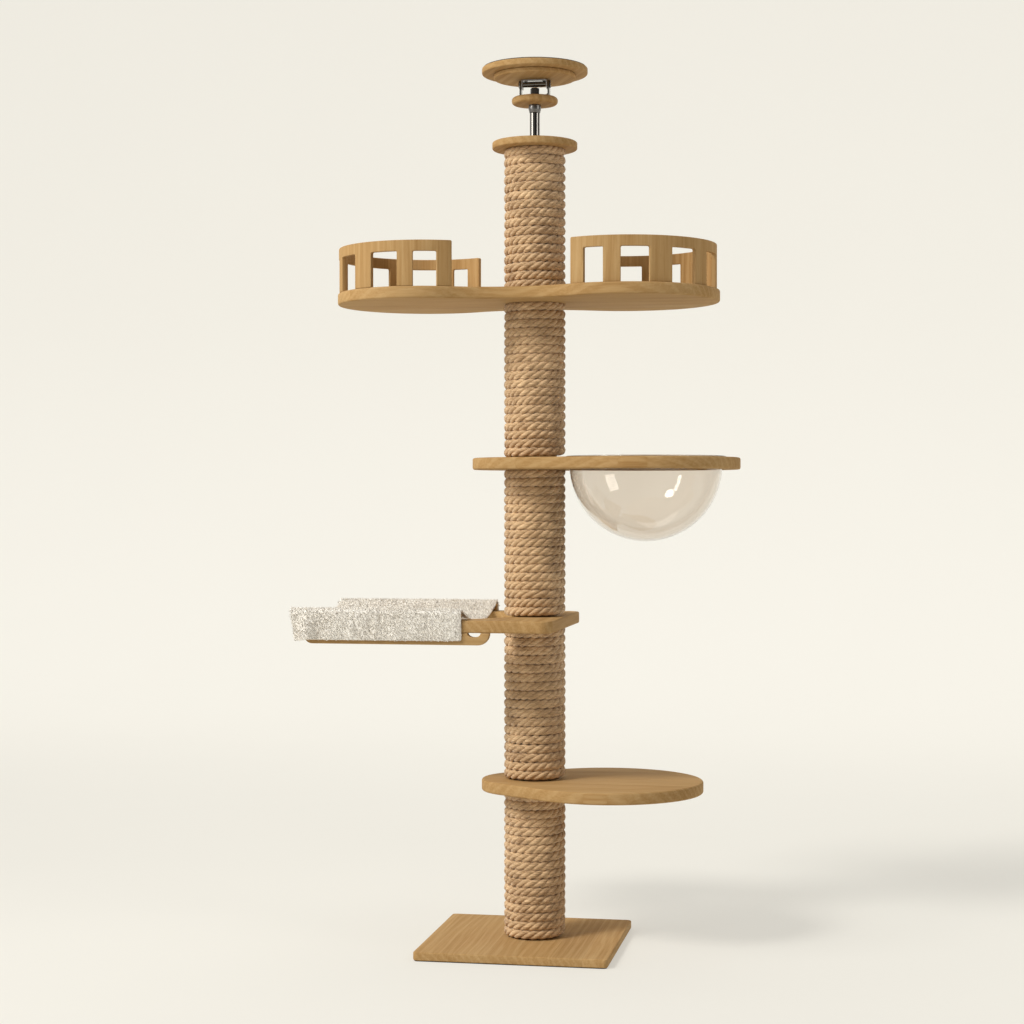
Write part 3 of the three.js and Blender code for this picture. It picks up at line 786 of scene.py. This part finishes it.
def makeJack():
    gap, neck = jackLook["gap"], jackLook["neck"] + jackLook["gap"]

    def lathe(node, body, slot, material, profile, segments=96, smooth=35):
        settle(newPiece(node + "Turned", turned(node, profile, segments), material, smooth), body, slot, node)

    low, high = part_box("top_cap")
    lathe("top_cap", "root", "wood", woodDisc,
          roundDisc(jackLook["nut"] + gap, high.x, low.z, high.z, jackLook["capEdge"]))
    low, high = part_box("jack_nut")
    step = high.z - jackLook["flangeHeight"]
    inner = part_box("jack_rod")[1].x + gap
    nut = turned("jack_nut", [(inner, low.z), (jackLook["nut"], low.z), (jackLook["nut"], step),
                              *roundDisc(jackLook["nut"], jackLook["flange"], step, high.z, 0.0012)[:-1],
                              (inner + 0.001, high.z), (inner, high.z - 0.001)], 72)
    settle(newPiece("jackNut", nut, blackSteel), "root", "dark_steel", "jack_nut")
    low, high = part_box("jack_rod")
    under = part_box("jack_collar")[0].z - gap
    lathe("jack_rod", "jack_screw", "chrome", chrome,
          [(0, low.z), (high.x - 0.0015, low.z), (high.x, low.z + 0.0015), (high.x, under - 0.001),
           (high.x - 0.001, under), (neck - gap, under), (neck - gap, high.z), (0, high.z)], 72)
    low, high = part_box("jack_collar")
    tall, wide = high.z - low.z, high.x
    lathe("jack_collar", "jack_screw", "dark_steel", greySteel,
          [(neck, low.z), (wide * 0.84, low.z), (wide * 0.88, low.z + 0.001),
           (wide * 0.90, low.z + tall * 0.22),
           (wide * 0.97, low.z + tall * 0.36), (wide, low.z + tall * 0.44), (wide, high.z - 0.0015),
           (wide - 0.0015, high.z), (neck, high.z)], 64)
    low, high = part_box("hand_disc")
    lathe("hand_disc", "jack_screw", "wood", woodDisc,
          roundDisc(neck, high.x, low.z, high.z, jackLook["discEdge"]))
    low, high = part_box("thrust_washer")
    lathe("thrust_washer", "thrust_washer", "steel", zinc, roundDisc(neck, high.x, low.z, high.z, 0.0004), 48)
    low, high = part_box("swivel_head")
    lathe("swivel_head", "jack_screw", "dark_steel", blackSteel,
          [(0, low.z), (high.x - 0.0014, low.z), (high.x, low.z + 0.001), (high.x, high.z - 0.001),
           (high.x - 0.0014, high.z), (high.x * 0.5, high.z), (high.x * 0.45, high.z - 0.004),
           (0, high.z - 0.004)], 6, 20)
    low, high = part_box("pad_disc_lower")
    lathe("pad_disc_lower", "ceiling_pad", "wood", woodDisc,
          roundDisc(0, high.x, low.z, high.z, jackLook["padEdge"]))
    low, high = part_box("pad_disc_upper")
    lathe("pad_disc_upper", "ceiling_pad", "wood", woodDisc,
          roundDisc(0, high.x, low.z, high.z, jackLook["padEdge"]))
    low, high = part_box("ceiling_grip")
    ridges, depth = jackLook["ridges"], (high.z - low.z) * 0.4
    crest = [(high.x * (1 - r / ridges), high.z - (depth if r % 2 else 0)) for r in range(ridges + 1)]
    lathe("ceiling_grip", "ceiling_pad", "rubber", rubber, [(0, low.z), (high.x, low.z), *crest])


def strap(width, bottom, top, plate, bend, depth):  # a flat bar bent into a U, standing in XZ
    half, inner = width / 2, max(bend - plate, 0.001)
    tip = plate * 0.3
    outline = arc(half - bend, bottom + bend, bend, -quarter, 0, 6)
    outline += arc(half - tip, top - tip, tip, 0, quarter, 3)
    outline += arc(half - plate + tip, top - tip, tip, quarter, 2 * quarter, 3)
    outline += arc(half - plate - inner, bottom + plate + inner, inner, 0, -quarter, 6)
    outline += arc(inner + plate - half, bottom + plate + inner, inner, -quarter, -2 * quarter, 6)
    outline += arc(plate - tip - half, top - tip, tip, 0, quarter, 3)
    outline += arc(tip - half, top - tip, tip, quarter, 2 * quarter, 3)
    outline += arc(bend - half, bottom + bend, bend, 2 * quarter, 3 * quarter, 6)
    return turnMesh(sawn("strap", [outline], -depth / 2, depth / 2, plate * 0.16, 1), "X")


def makeStirrup():
    gap = jackLook["gap"]
    pinLow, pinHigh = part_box("cross_pin")
    pinRadius, pinZ = pinHigh.y, (pinLow.z + pinHigh.z) / 2
    low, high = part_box("stirrup")
    pinHole = move(turnMesh(plainRod(pinRadius + gap, -high.x * 2, high.x * 2), "Y"), z=pinZ)
    neckHole = move(plainRod(jackLook["neck"] + gap, -0.01, 0.01), z=low.z)
    bent = strap(high.x - low.x, low.z, high.z, jackLook["plate"], jackLook["bend"], high.y - low.y)
    mesh = drilled(bent, pinHole, neckHole)
    settle(newPiece("stirrupStrap", mesh, chrome), "stirrup", "chrome", "stirrup")
    low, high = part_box("pad_lug")
    bent = strap(high.x - low.x, 0, high.z - low.z, jackLook["lugPlate"], jackLook["lugBend"], high.y - low.y)
    turnMesh(bent, "X", math.pi)
    pinHole = move(turnMesh(plainRod(pinRadius + gap, -high.x * 2, high.x * 2), "Y"), z=pinZ)
    lug = newPiece("padLug", drilled(move(bent, z=high.z), pinHole), zinc)
    settle(lug, "ceiling_pad", "steel", "pad_lug")
    end, groove = pinHigh.x, 0.0007
    side = [(pinRadius - 0.0012, end), (pinRadius, end - 0.0012)]
    pin = turned("pin", [(0, -end), (pinRadius - 0.0012, -end), (pinRadius, 0.0012 - end),
                         (pinRadius, -groove), (pinRadius - groove, 0), (pinRadius, groove),
                         *side[::-1], (0, end)], 48)
    settle(newPiece("crossPin", move(turnMesh(pin, "Y"), z=pinZ), chrome), "stirrup", "chrome", "cross_pin")
    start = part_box("stirrup")[1].x + gap
    points, faces = [], []
    for sign in (-1, 1):
        ends = (start, start + jackLook["clipWidth"])
        ring = turned("clip", roundDisc(pinRadius, jackLook["clipRadius"], *ends, 0.0006), 36)
        move(turnMesh(ring, "Y", sign * quarter), z=pinZ)
        faces += [[len(points) + corner for corner in face.vertices] for face in ring.polygons]
        points += [vertex.co.copy() for vertex in ring.vertices]
    clips = newPiece("pinClips", cleanMesh(meshFromPoints("pinClips", points, faces)), blackSteel)
    settle(clips, "stirrup", "dark_steel")


makeJack()
makeStirrup()
print("jack made")


# ---- screws ----
screwLook = {"head": 0.0048, "dome": 0.0024, "slot": 0.0011, "slotDepth": 0.0014}


def screwHead():  # a cross-recessed pan head, its face towards +Z, seated on z = 0
    head, dome = screwLook["head"], screwLook["dome"]
    profile = [(0, 0), (head, 0), (head, dome * 0.35)]
    angles = [quarter * step / 4 for step in range(1, 5)]
    profile += [(head * math.cos(a), dome * (0.35 + 0.65 * math.sin(a))) for a in angles]
    blades = []
    for turn in (0, 1):
        wide, narrow = head * 0.62, screwLook["slot"] / 2
        sides = (wide, narrow) if turn else (narrow, wide)
        outline = [(sides[0], sides[1]), (-sides[0], sides[1]), (-sides[0], -sides[1]), (sides[0], -sides[1])]
        deep = dome - screwLook["slotDepth"]
        points = [(x, y, z) for z in (deep, dome * 2) for x, y in outline]
        faces = [(0, 1, 2, 3), (7, 6, 5, 4)] + [(i, (i + 1) % 4, (i + 1) % 4 + 4, i + 4) for i in range(4)]
        blades.append(cleanMesh(meshFromPoints("blade", points, faces)))
    return drilled(turned("screwHead", profile, 20), *blades)


def screwTree(layout, material):
    tree = bpy.data.node_groups.new("screws" + layout, "GeometryNodeTree")
    tree.interface.new_socket("Geometry", in_out="INPUT", socket_type="NodeSocketGeometry")
    tree.interface.new_socket("Geometry", in_out="OUTPUT", socket_type="NodeSocketGeometry")
    for name in ("Width", "Depth", "Turn", "Flip"):
        tree.interface.new_socket(name, in_out="INPUT", socket_type="NodeSocketFloat")
    tree.interface.new_socket("Count", in_out="INPUT", socket_type="NodeSocketInt")
    tree.interface.new_socket("Middle", in_out="INPUT", socket_type="NodeSocketVector")
    tree.interface.new_socket("Screw", in_out="INPUT", socket_type="NodeSocketObject")
    pen = Pen(tree)
    given = tree.nodes.new("NodeGroupInput")
    value = {output.name: Wire(pen, output) for output in given.outputs if output.name}
    if layout == "Grid":
        points = pen.node("GeometryNodeMeshGrid", None, {
            "Size X": value["Width"], "Size Y": value["Depth"], "Vertices X": value["Count"],
            "Vertices Y": 2})
    else:
        points = pen.node("GeometryNodeMeshCircle", None, {
            "Vertices": value["Count"], "Radius": value["Width"]})
    centred = pen.node("GeometryNodeTransform", None, {
        "Geometry": points, "Translation": value["Middle"], "Rotation": pen.vector(0.0, 0.0, value["Turn"])})
    shape = pen.node("GeometryNodeObjectInfo", None, {"Object": value["Screw"]}, "Geometry")
    spin = pen.node("FunctionNodeRandomValue", {"data_type": "FLOAT"}, {2: 0.0, 3: 3.1, "Seed": 5}, 1)
    copies = pen.node("GeometryNodeInstanceOnPoints", None, {
        "Points": centred, "Instance": shape, "Rotation": pen.vector(value["Flip"], 0.0, spin)})
    real = pen.node("GeometryNodeRealizeInstances", None, {0: copies})
    done = pen.node("GeometryNodeSetMaterial", None, {"Geometry": real, "Material": material})
    end = tree.nodes.new("NodeGroupOutput")
    tree.links.new(done.socket, end.inputs[0])
    return tree


def makeScrews():
    head = bpy.data.objects.new("screwPattern", screwHead())
    scene.collection.objects.link(head)
    ring, grid = screwTree("Ring", zinc), screwTree("Grid", zinc)
    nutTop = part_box("jack_nut")[1].z
    lid = growPiece("flangeScrews", ring, {
        "Width": 0.0275, "Turn": 0.5, "Count": 3, "Middle": (0, 0, nutTop), "Screw": head}, zinc)
    settle(lid, "root", "steel")
    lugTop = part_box("pad_lug")[1].z - jackLook["lugPlate"]
    plate = growPiece("lugScrews", grid, {
        "Width": 0.05, "Depth": 0.011, "Count": 2, "Middle": (0, 0, lugTop), "Flip": math.pi,
        "Screw": head}, zinc)
    settle(plate, "ceiling_pad", "steel")
    first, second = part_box("rail_screw_front_1"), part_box("rail_screw_front_2")
    x = [(first[0].x + first[1].x) / 2, (second[0].x + second[1].x) / 2]
    y = (first[0].y + first[1].y) / 2
    top = first[0].z + 0.003
    rails = growPiece("railScrews", grid, {
        "Width": x[1] - x[0], "Depth": 2 * abs(y), "Count": 2, "Middle": ((x[0] + x[1]) / 2, 0, top),
        "Flip": math.pi, "Screw": head}, zinc)
    nodes = [f"rail_screw_{side}_{n}" for side in ("front", "back") for n in (1, 2)]
    settle(rails, "hammock", "steel", *nodes)
    bpy.data.objects.remove(head)


makeScrews()


# ---- clear bowl ----
def acrylicMaterial():
    material, pen, shader = newMaterial("clearAcrylic", {
        "Transmission Weight": 1.0, "IOR": 1.49, "Specular IOR Level": 0.5})
    place = objectPlace(pen)
    haze = pen.noise(place, 7, 4)
    swirl = pen.noise(pen.stretch(place, (60, 60, 240)), 1.0, 3)
    wear = pen.step(swirl, 0.62, 0.8)
    color = pen.mix(haze, (0.88, 0.83, 0.77, 1), (0.90, 0.855, 0.80, 1))
    feed(pen, shader, {"Base Color": color, "Roughness": haze * 0.035 + wear * 0.03 + 0.004,
                       "Normal": pen.bump(haze, 0.0006, 0.35)})
    return material


def makeBowl():
    look = bowlLook
    low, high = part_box("bowl")
    radius, wall, roll = look["radius"], look["wall"], look["roll"]
    centreZ, lipRadius, lipUnder = low.z + radius, (high.x - low.x) / 2, high.z - wall
    inner, top = radius - wall, high.z
    profile = arc(0, centreZ, radius, -quarter, 0, look["rings"])
    profile += arc(radius + roll, lipUnder - roll, roll, 2 * quarter, quarter, 3)
    profile += arc(lipRadius - roll, lipUnder + roll, roll, -quarter, 0, 3)
    profile += arc(lipRadius - roll, top - roll, roll, 0, quarter, 3)
    profile += arc(inner + roll, top - roll, roll, quarter, 2 * quarter, 3)
    profile += arc(0, centreZ, inner, 0, -quarter, look["rings"])
    profile[0], profile[-1] = (0, low.z), (0, low.z + wall)
    mesh = turned("bowl", profile, look["segments"], ((low.x + high.x) / 2, 0, 0))
    settle(newPiece("clearBowl", mesh, acrylicMaterial(), 60), "bowl", "acrylic", "bowl")


makeBowl()
print("bowl made")


# ---- hammock: board, rails and bar ----
hammockLook = {
    "corner": 0.035, "small": 0.006, "scoopX": -0.27, "scoop": 0.215, "edge": 0.0045, "upperEnd": -0.152,
    "tailRound": 0.03, "round": 0.022, "endRound": 0.008, "slotLeft": -0.134, "slotRight": -0.099,
    "slotDepth": 0.011,
    "railEdge": 0.002, "recess": 0.0053, "recessDepth": 0.004, "gap": 0.0003,
}


def hammockOutline(low, high):
    look, corner, small = hammockLook, hammockLook["corner"], hammockLook["small"]
    swing = math.acos((low.x - look["scoopX"]) / look["scoop"])
    outline = arc(high.x - corner, low.y + corner, corner, -quarter, 0, 8)
    outline += arc(high.x - corner, high.y - corner, corner, 0, quarter, 8)
    outline += arc(low.x + small, high.y - small, small, quarter, 2 * quarter, 4)
    outline += arc(look["scoopX"], 0, look["scoop"], swing, -swing, 40)
    return outline + arc(low.x + small, low.y + small, small, 2 * quarter, 3 * quarter, 4)


def railOutline(low, high, boardLow, boardHigh):
    look, gap = hammockLook, hammockLook["gap"]
    under, over = boardLow.z - gap, boardHigh.z + gap
    tail, end, corner = look["tailRound"], look["endRound"], look["round"]
    slotHalf = (look["slotRight"] - look["slotLeft"]) / 2
    slotX = look["slotLeft"] + slotHalf
    outline = [(low.x + corner, low.z), (high.x - tail, low.z)]
    outline += [(high.x - tail + tail * math.cos(a), under + (under - low.z) * math.sin(a))
                for a in [-quarter + quarter * s / 8 for s in range(1, 9)]]
    outline += [(slotX + slotHalf * math.cos(a), under + look["slotDepth"] * math.sin(a))
                for a in [-2 * quarter * s / 12 for s in range(13)]]
    outline += [(boardLow.x - gap, under), (boardLow.x - gap, over), (look["upperEnd"], over)]
    outline += arc(look["upperEnd"] - end, high.z - end, end, 0, quarter, 5)
    outline += arc(low.x + end, high.z - end, end, quarter, 2 * quarter, 5)
    return outline + arc(low.x + corner, low.z + corner, corner, 2 * quarter, 3 * quarter, 8)[:-1]


def makeHammockFrame():
    boardLow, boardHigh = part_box("hammock_board")
    hole = arc(0, 0, platformLook["boltHole"], 0, fullTurn * 23 / 24, 23)
    outlines = [hammockOutline(boardLow, boardHigh), hole]
    board = sawn("hammockBoard", outlines, boardLow.z, boardHigh.z, hammockLook["edge"])
    settle(newPiece("hammockBoard", board, woodAcross), "hammock", "wood", "hammock_board")
    for node in ("rail_front", "rail_back"):
        low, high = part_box(node)
        half = (high.y - low.y) / 2
        outline = railOutline(low, high, boardLow, boardHigh)
        mesh = turnMesh(sawn(node, [outline], -half, half, hammockLook["railEdge"], 2), "X")
        move(mesh, y=(low.y + high.y) / 2)
        cutters = []
        for number in (1, 2):
            screwLow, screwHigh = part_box(f"{node.replace('rail', 'rail_screw')}_{number}")
            cutter = plainRod(hammockLook["recess"], -0.01, hammockLook["recessDepth"], 24, 0)
            middle = (screwLow + screwHigh) / 2
            cutters.append(move(cutter, middle.x, middle.y, low.z))
        name = "railFront" if node == "rail_front" else "railBack"
        settle(newPiece(name, drilled(mesh, *cutters), woodAlong), "hammock", "wood", node)
    low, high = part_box("spreader_bar")
    middle = (low + high) / 2
    bar = turnMesh(plainRod((high.x - low.x) / 2, low.y, high.y, 40), "X")
    piece = newPiece("spreaderBar", move(bar, middle.x, 0, middle.z), woodRod)
    settle(piece, "hammock", "wood", "spreader_bar")


makeHammockFrame()


# ---- hammock: plush sling ----
slingLook = {
    "cloth": 0.0048, "cell": 0.0085, "sagLeft": 0.062, "sagRight": 0.020, "bend": 0.005, "frames": 34,
    "extra": 0.012, "pileLength": 0.0062, "pileRadius": 0.0012, "pileDensity": 105000,
    "pale": (0.91, 0.875, 0.81), "shade": (0.76, 0.71, 0.63), "fleck": (0.27, 0.215, 0.165),
}


def slingSection(sag, steps):  # points across the sling, flap to flap, evenly spaced
    railLow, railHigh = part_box("rail_back")
    low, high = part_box("hammock_sling")
    bend, edge = slingLook["bend"], hammockLook["railEdge"]
    out, top = railHigh.y - edge, railHigh.z - edge
    inner = railLow.y
    half = [(out + bend, low.z)] + arc(out, top, bend, 0, quarter, 8) + [(inner, top + bend)]
    half += [(inner * (1 - s / 40), top + bend - sag * (1 - (1 - s / 40) ** 2)) for s in range(1, 41)]
    path = [Vector(p) for p in half] + [Vector((-p[0], p[1])) for p in half[-2::-1]]
    lengths = [0.0]
    for before, after in zip(path, path[1:]):
        lengths.append(lengths[-1] + (after - before).length)
    result, place = [], 0
    for step in range(steps + 1):
        goal = lengths[-1] * step / steps
        while place < len(path) - 2 and lengths[place + 1] < goal:
            place += 1
        share = (goal - lengths[place]) / (lengths[place + 1] - lengths[place])
        result.append(path[place].lerp(path[place + 1], share))
    return result, lengths[-1]


def slabMesh(low, high):
    points = [(x, y, z) for z in (low[2], high[2]) for x, y in
              ((low[0], low[1]), (high[0], low[1]), (high[0], high[1]), (low[0], high[1]))]
    faces = [(3, 2, 1, 0), (4, 5, 6, 7)] + [(i, (i + 1) % 4, (i + 1) % 4 + 4, i + 4) for i in range(4)]
    return meshFromPoints("slab", points, faces)


def makeSlingCloth():
    low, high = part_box("hammock_sling")
    length = high.x - low.x
    width = slingSection(slingLook["sagLeft"], 10)[1]
    columns, rows = round(length / slingLook["cell"]), round(width / slingLook["cell"])
    points, faces = [], []
    for column in range(columns + 1):
        share = column / columns
        sag = slingLook["sagLeft"] + (slingLook["sagRight"] - slingLook["sagLeft"]) * share
        section = slingSection(sag, rows)[0]
        points += [(low.x + length * share, y, z) for y, z in section]
    for column in range(columns):
        for row in range(rows):
            corner = column * (rows + 1) + row
            faces.append((corner, corner + 1, corner + rows + 2, corner + rows + 1))
    cloth = bpy.data.objects.new("plushSling", meshFromPoints("plushSling", points, faces))
    scene.collection.objects.link(cloth)
    cleanMesh(cloth.data)
    return cloth, (width, length)


def simulateSling(cloth):
    railLow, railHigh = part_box("rail_back")
    boardLow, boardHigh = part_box("hammock_board")
    held = cloth.vertex_groups.new(name="held")
    pinned = [v.index for v in cloth.data.vertices
              if v.co.z > railHigh.z and railLow.y < abs(v.co.y) < railHigh.y]
    held.add(pinned, 1.0, "REPLACE")
    railEnd, railTop = hammockLook["upperEnd"], railHigh.z - 0.0005
    solids = [slabMesh((railLow.x, side[0], railLow.z), (railEnd, side[1], railTop))
              for side in ((railLow.y, railHigh.y), (-railHigh.y, -railLow.y))]
    solids.append(slabMesh((boardLow.x + 0.16, boardLow.y, boardLow.z), tuple(boardHigh)))
    helpers = []
    for solid in solids:
        helper = bpy.data.objects.new("clothSupport", solid)
        scene.collection.objects.link(helper)
        helper.modifiers.new("support", "COLLISION")
        helper.collision.thickness_outer = 0.001
        helper.collision.cloth_friction = 12
        helpers.append(helper)
    fabric = cloth.modifiers.new("fabric", "CLOTH")
    settings = fabric.settings
    settings.quality = 7
    settings.mass = 0.12
    settings.tension_stiffness = settings.compression_stiffness = 22
    settings.shear_stiffness = 9
    settings.bending_stiffness = 1.2
    settings.air_damping = 2.5
    settings.vertex_group_mass = "held"
    settings.shrink_min = settings.shrink_max = -slingLook["extra"]
    fabric.collision_settings.distance_min = 0.0022
    fabric.collision_settings.collision_quality = 3
    for frameNumber in range(1, slingLook["frames"] + 1):
        scene.frame_set(frameNumber)
    bake(cloth)
    scene.frame_set(1)
    for helper in helpers:
        bpy.data.objects.remove(helper)


def plushMaterial(name, pile):
    material, pen, shader = newMaterial(name, {
        "Specular IOR Level": 0.12, "Sheen Weight": 0.35, "Sheen Roughness": 0.5, "Roughness": 0.95})
    place = objectPlace(pen)
    cluster = pen.noise(place, 85, 3, 0.6)
    fine = pen.noise(place, 330, 3, 0.6)
    broad = pen.noise(place, 14, 3)
    dark = pen.step(cluster * 0.45 + fine * 0.55, 0.53, 0.62)
    pale, shade, fleck = [(*slingLook[key], 1) for key in ("pale", "shade", "fleck")]
    color = pen.mix(pen.step(broad, 0.35, 0.7) * 0.5, pale, shade)
    color = pen.mix(dark * 0.5, color, fleck)
    if pile:
        tone = pen.node("ShaderNodeAttribute", {"attribute_name": "tone"}, None, "Fac")
        color = pen.mix(pen.step(tone, 0.80, 0.92) * 0.45, color, fleck)
        color = pen.mix(pen.step(tone, 0.25, 0.05) * 0.4, color, (0.86, 0.84, 0.79, 1))
        height = fine
    else:
        knit = pen.node("ShaderNodeTexVoronoi", {"feature": "F1"}, {
            "Vector": pen.stretch(place, (1, 1.6, 1.6)), "Scale": 420.0}, "Distance")
        height = knit * 0.6 + fine
    feed(pen, shader, {
        "Base Color": color, "Roughness": fine * 0.1 + 0.86, "Normal": pen.bump(height, 0.0012, 0.8)})
    return material


def pileTree(material):
    tree = bpy.data.node_groups.new("plushPile", "GeometryNodeTree")
    tree.interface.new_socket("Geometry", in_out="INPUT", socket_type="NodeSocketGeometry")
    tree.interface.new_socket("Geometry", in_out="OUTPUT", socket_type="NodeSocketGeometry")
    for name in ("Density", "Length", "Radius"):
        tree.interface.new_socket(name, in_out="INPUT", socket_type="NodeSocketFloat")
    tree.interface.new_socket("Cloth", in_out="INPUT", socket_type="NodeSocketObject")
    pen = Pen(tree)
    given = tree.nodes.new("NodeGroupInput")
    value = {output.name: Wire(pen, output) for output in given.outputs if output.name}
    cloth = pen.node("GeometryNodeObjectInfo", None, {"Object": value["Cloth"]}, "Geometry")
    scatter = tree.nodes.new("GeometryNodeDistributePointsOnFaces")
    tree.links.new(cloth.socket, scatter.inputs["Mesh"])
    tree.links.new(value["Density"].socket, scatter.inputs["Density"])
    scatter.inputs["Seed"].default_value = 11
    points, rotation = Wire(pen, scatter.outputs["Points"]), Wire(pen, scatter.outputs["Rotation"])
    blade = tree.nodes.new("GeometryNodeMeshCone")
    blade.fill_type = "NONE"
    blade.inputs["Vertices"].default_value = 3
    blade.inputs["Radius Top"].default_value = 0.0
    tree.links.new(value["Radius"].socket, blade.inputs["Radius Bottom"])
    tree.links.new(value["Length"].socket, blade.inputs["Depth"])
    tilt = pen.node("FunctionNodeRandomValue", {"data_type": "FLOAT_VECTOR"}, {
        0: (-0.6, -0.6, 0.0), 1: (0.6, 0.6, 6.2), "Seed": 3}, 0)
    grow = pen.node("FunctionNodeRandomValue", {"data_type": "FLOAT"}, {2: 0.6, 3: 1.15, "Seed": 4}, 1)
    copies = pen.node("GeometryNodeInstanceOnPoints", None, {
        "Points": points, "Instance": Wire(pen, blade.outputs["Mesh"]), "Rotation": rotation, "Scale": grow})
    leaned = pen.node("GeometryNodeRotateInstances", None, {"Instances": copies, "Rotation": tilt})
    tone = pen.node("FunctionNodeRandomValue", {"data_type": "FLOAT"}, {2: 0.0, 3: 1.0, "Seed": 9}, 1)
    marked = pen.node("GeometryNodeStoreNamedAttribute", {"data_type": "FLOAT", "domain": "INSTANCE"},
                      {"Geometry": leaned, "Name": "tone", "Value": tone})
    real = pen.node("GeometryNodeRealizeInstances", None, {0: marked})
    done = pen.node("GeometryNodeSetMaterial", None, {"Geometry": real, "Material": material})
    end = tree.nodes.new("NodeGroupOutput")
    tree.links.new(done.socket, end.inputs[0])
    return tree


def makeSling():
    cloth, flat = makeSlingCloth()
    simulateSling(cloth)
    furMaterial = plushMaterial("plushPile", True)
    tree = pileTree(furMaterial)
    middle = cloth.data.copy()
    skin = bpy.data.objects.new("pileGround", middle)
    scene.collection.objects.link(skin)
    for vertex in middle.vertices:
        vertex.co += vertex.normal * slingLook["cloth"] * 0.5
    pile = growPiece("slingPile", tree, {
        "Density": slingLook["pileDensity"], "Length": slingLook["pileLength"],
        "Radius": slingLook["pileRadius"], "Cloth": skin}, furMaterial)
    bpy.data.objects.remove(skin)
    wall = cloth.modifiers.new("wall", "SOLIDIFY")
    wall.thickness = slingLook["cloth"]
    wall.offset = 0
    soft = cloth.modifiers.new("soft", "SUBSURF")
    soft.levels = soft.render_levels = 1
    bake(cloth)
    cloth.data.materials.clear()
    cloth.data.materials.append(plushMaterial("plushCloth", False))
    cloth.data.polygons.foreach_set("use_smooth", [True] * len(cloth.data.polygons))
    settle(cloth, "hammock", "plush", "hammock_sling")
    settle(pile, "hammock", "plush")


makeSling()
print("sling draped")
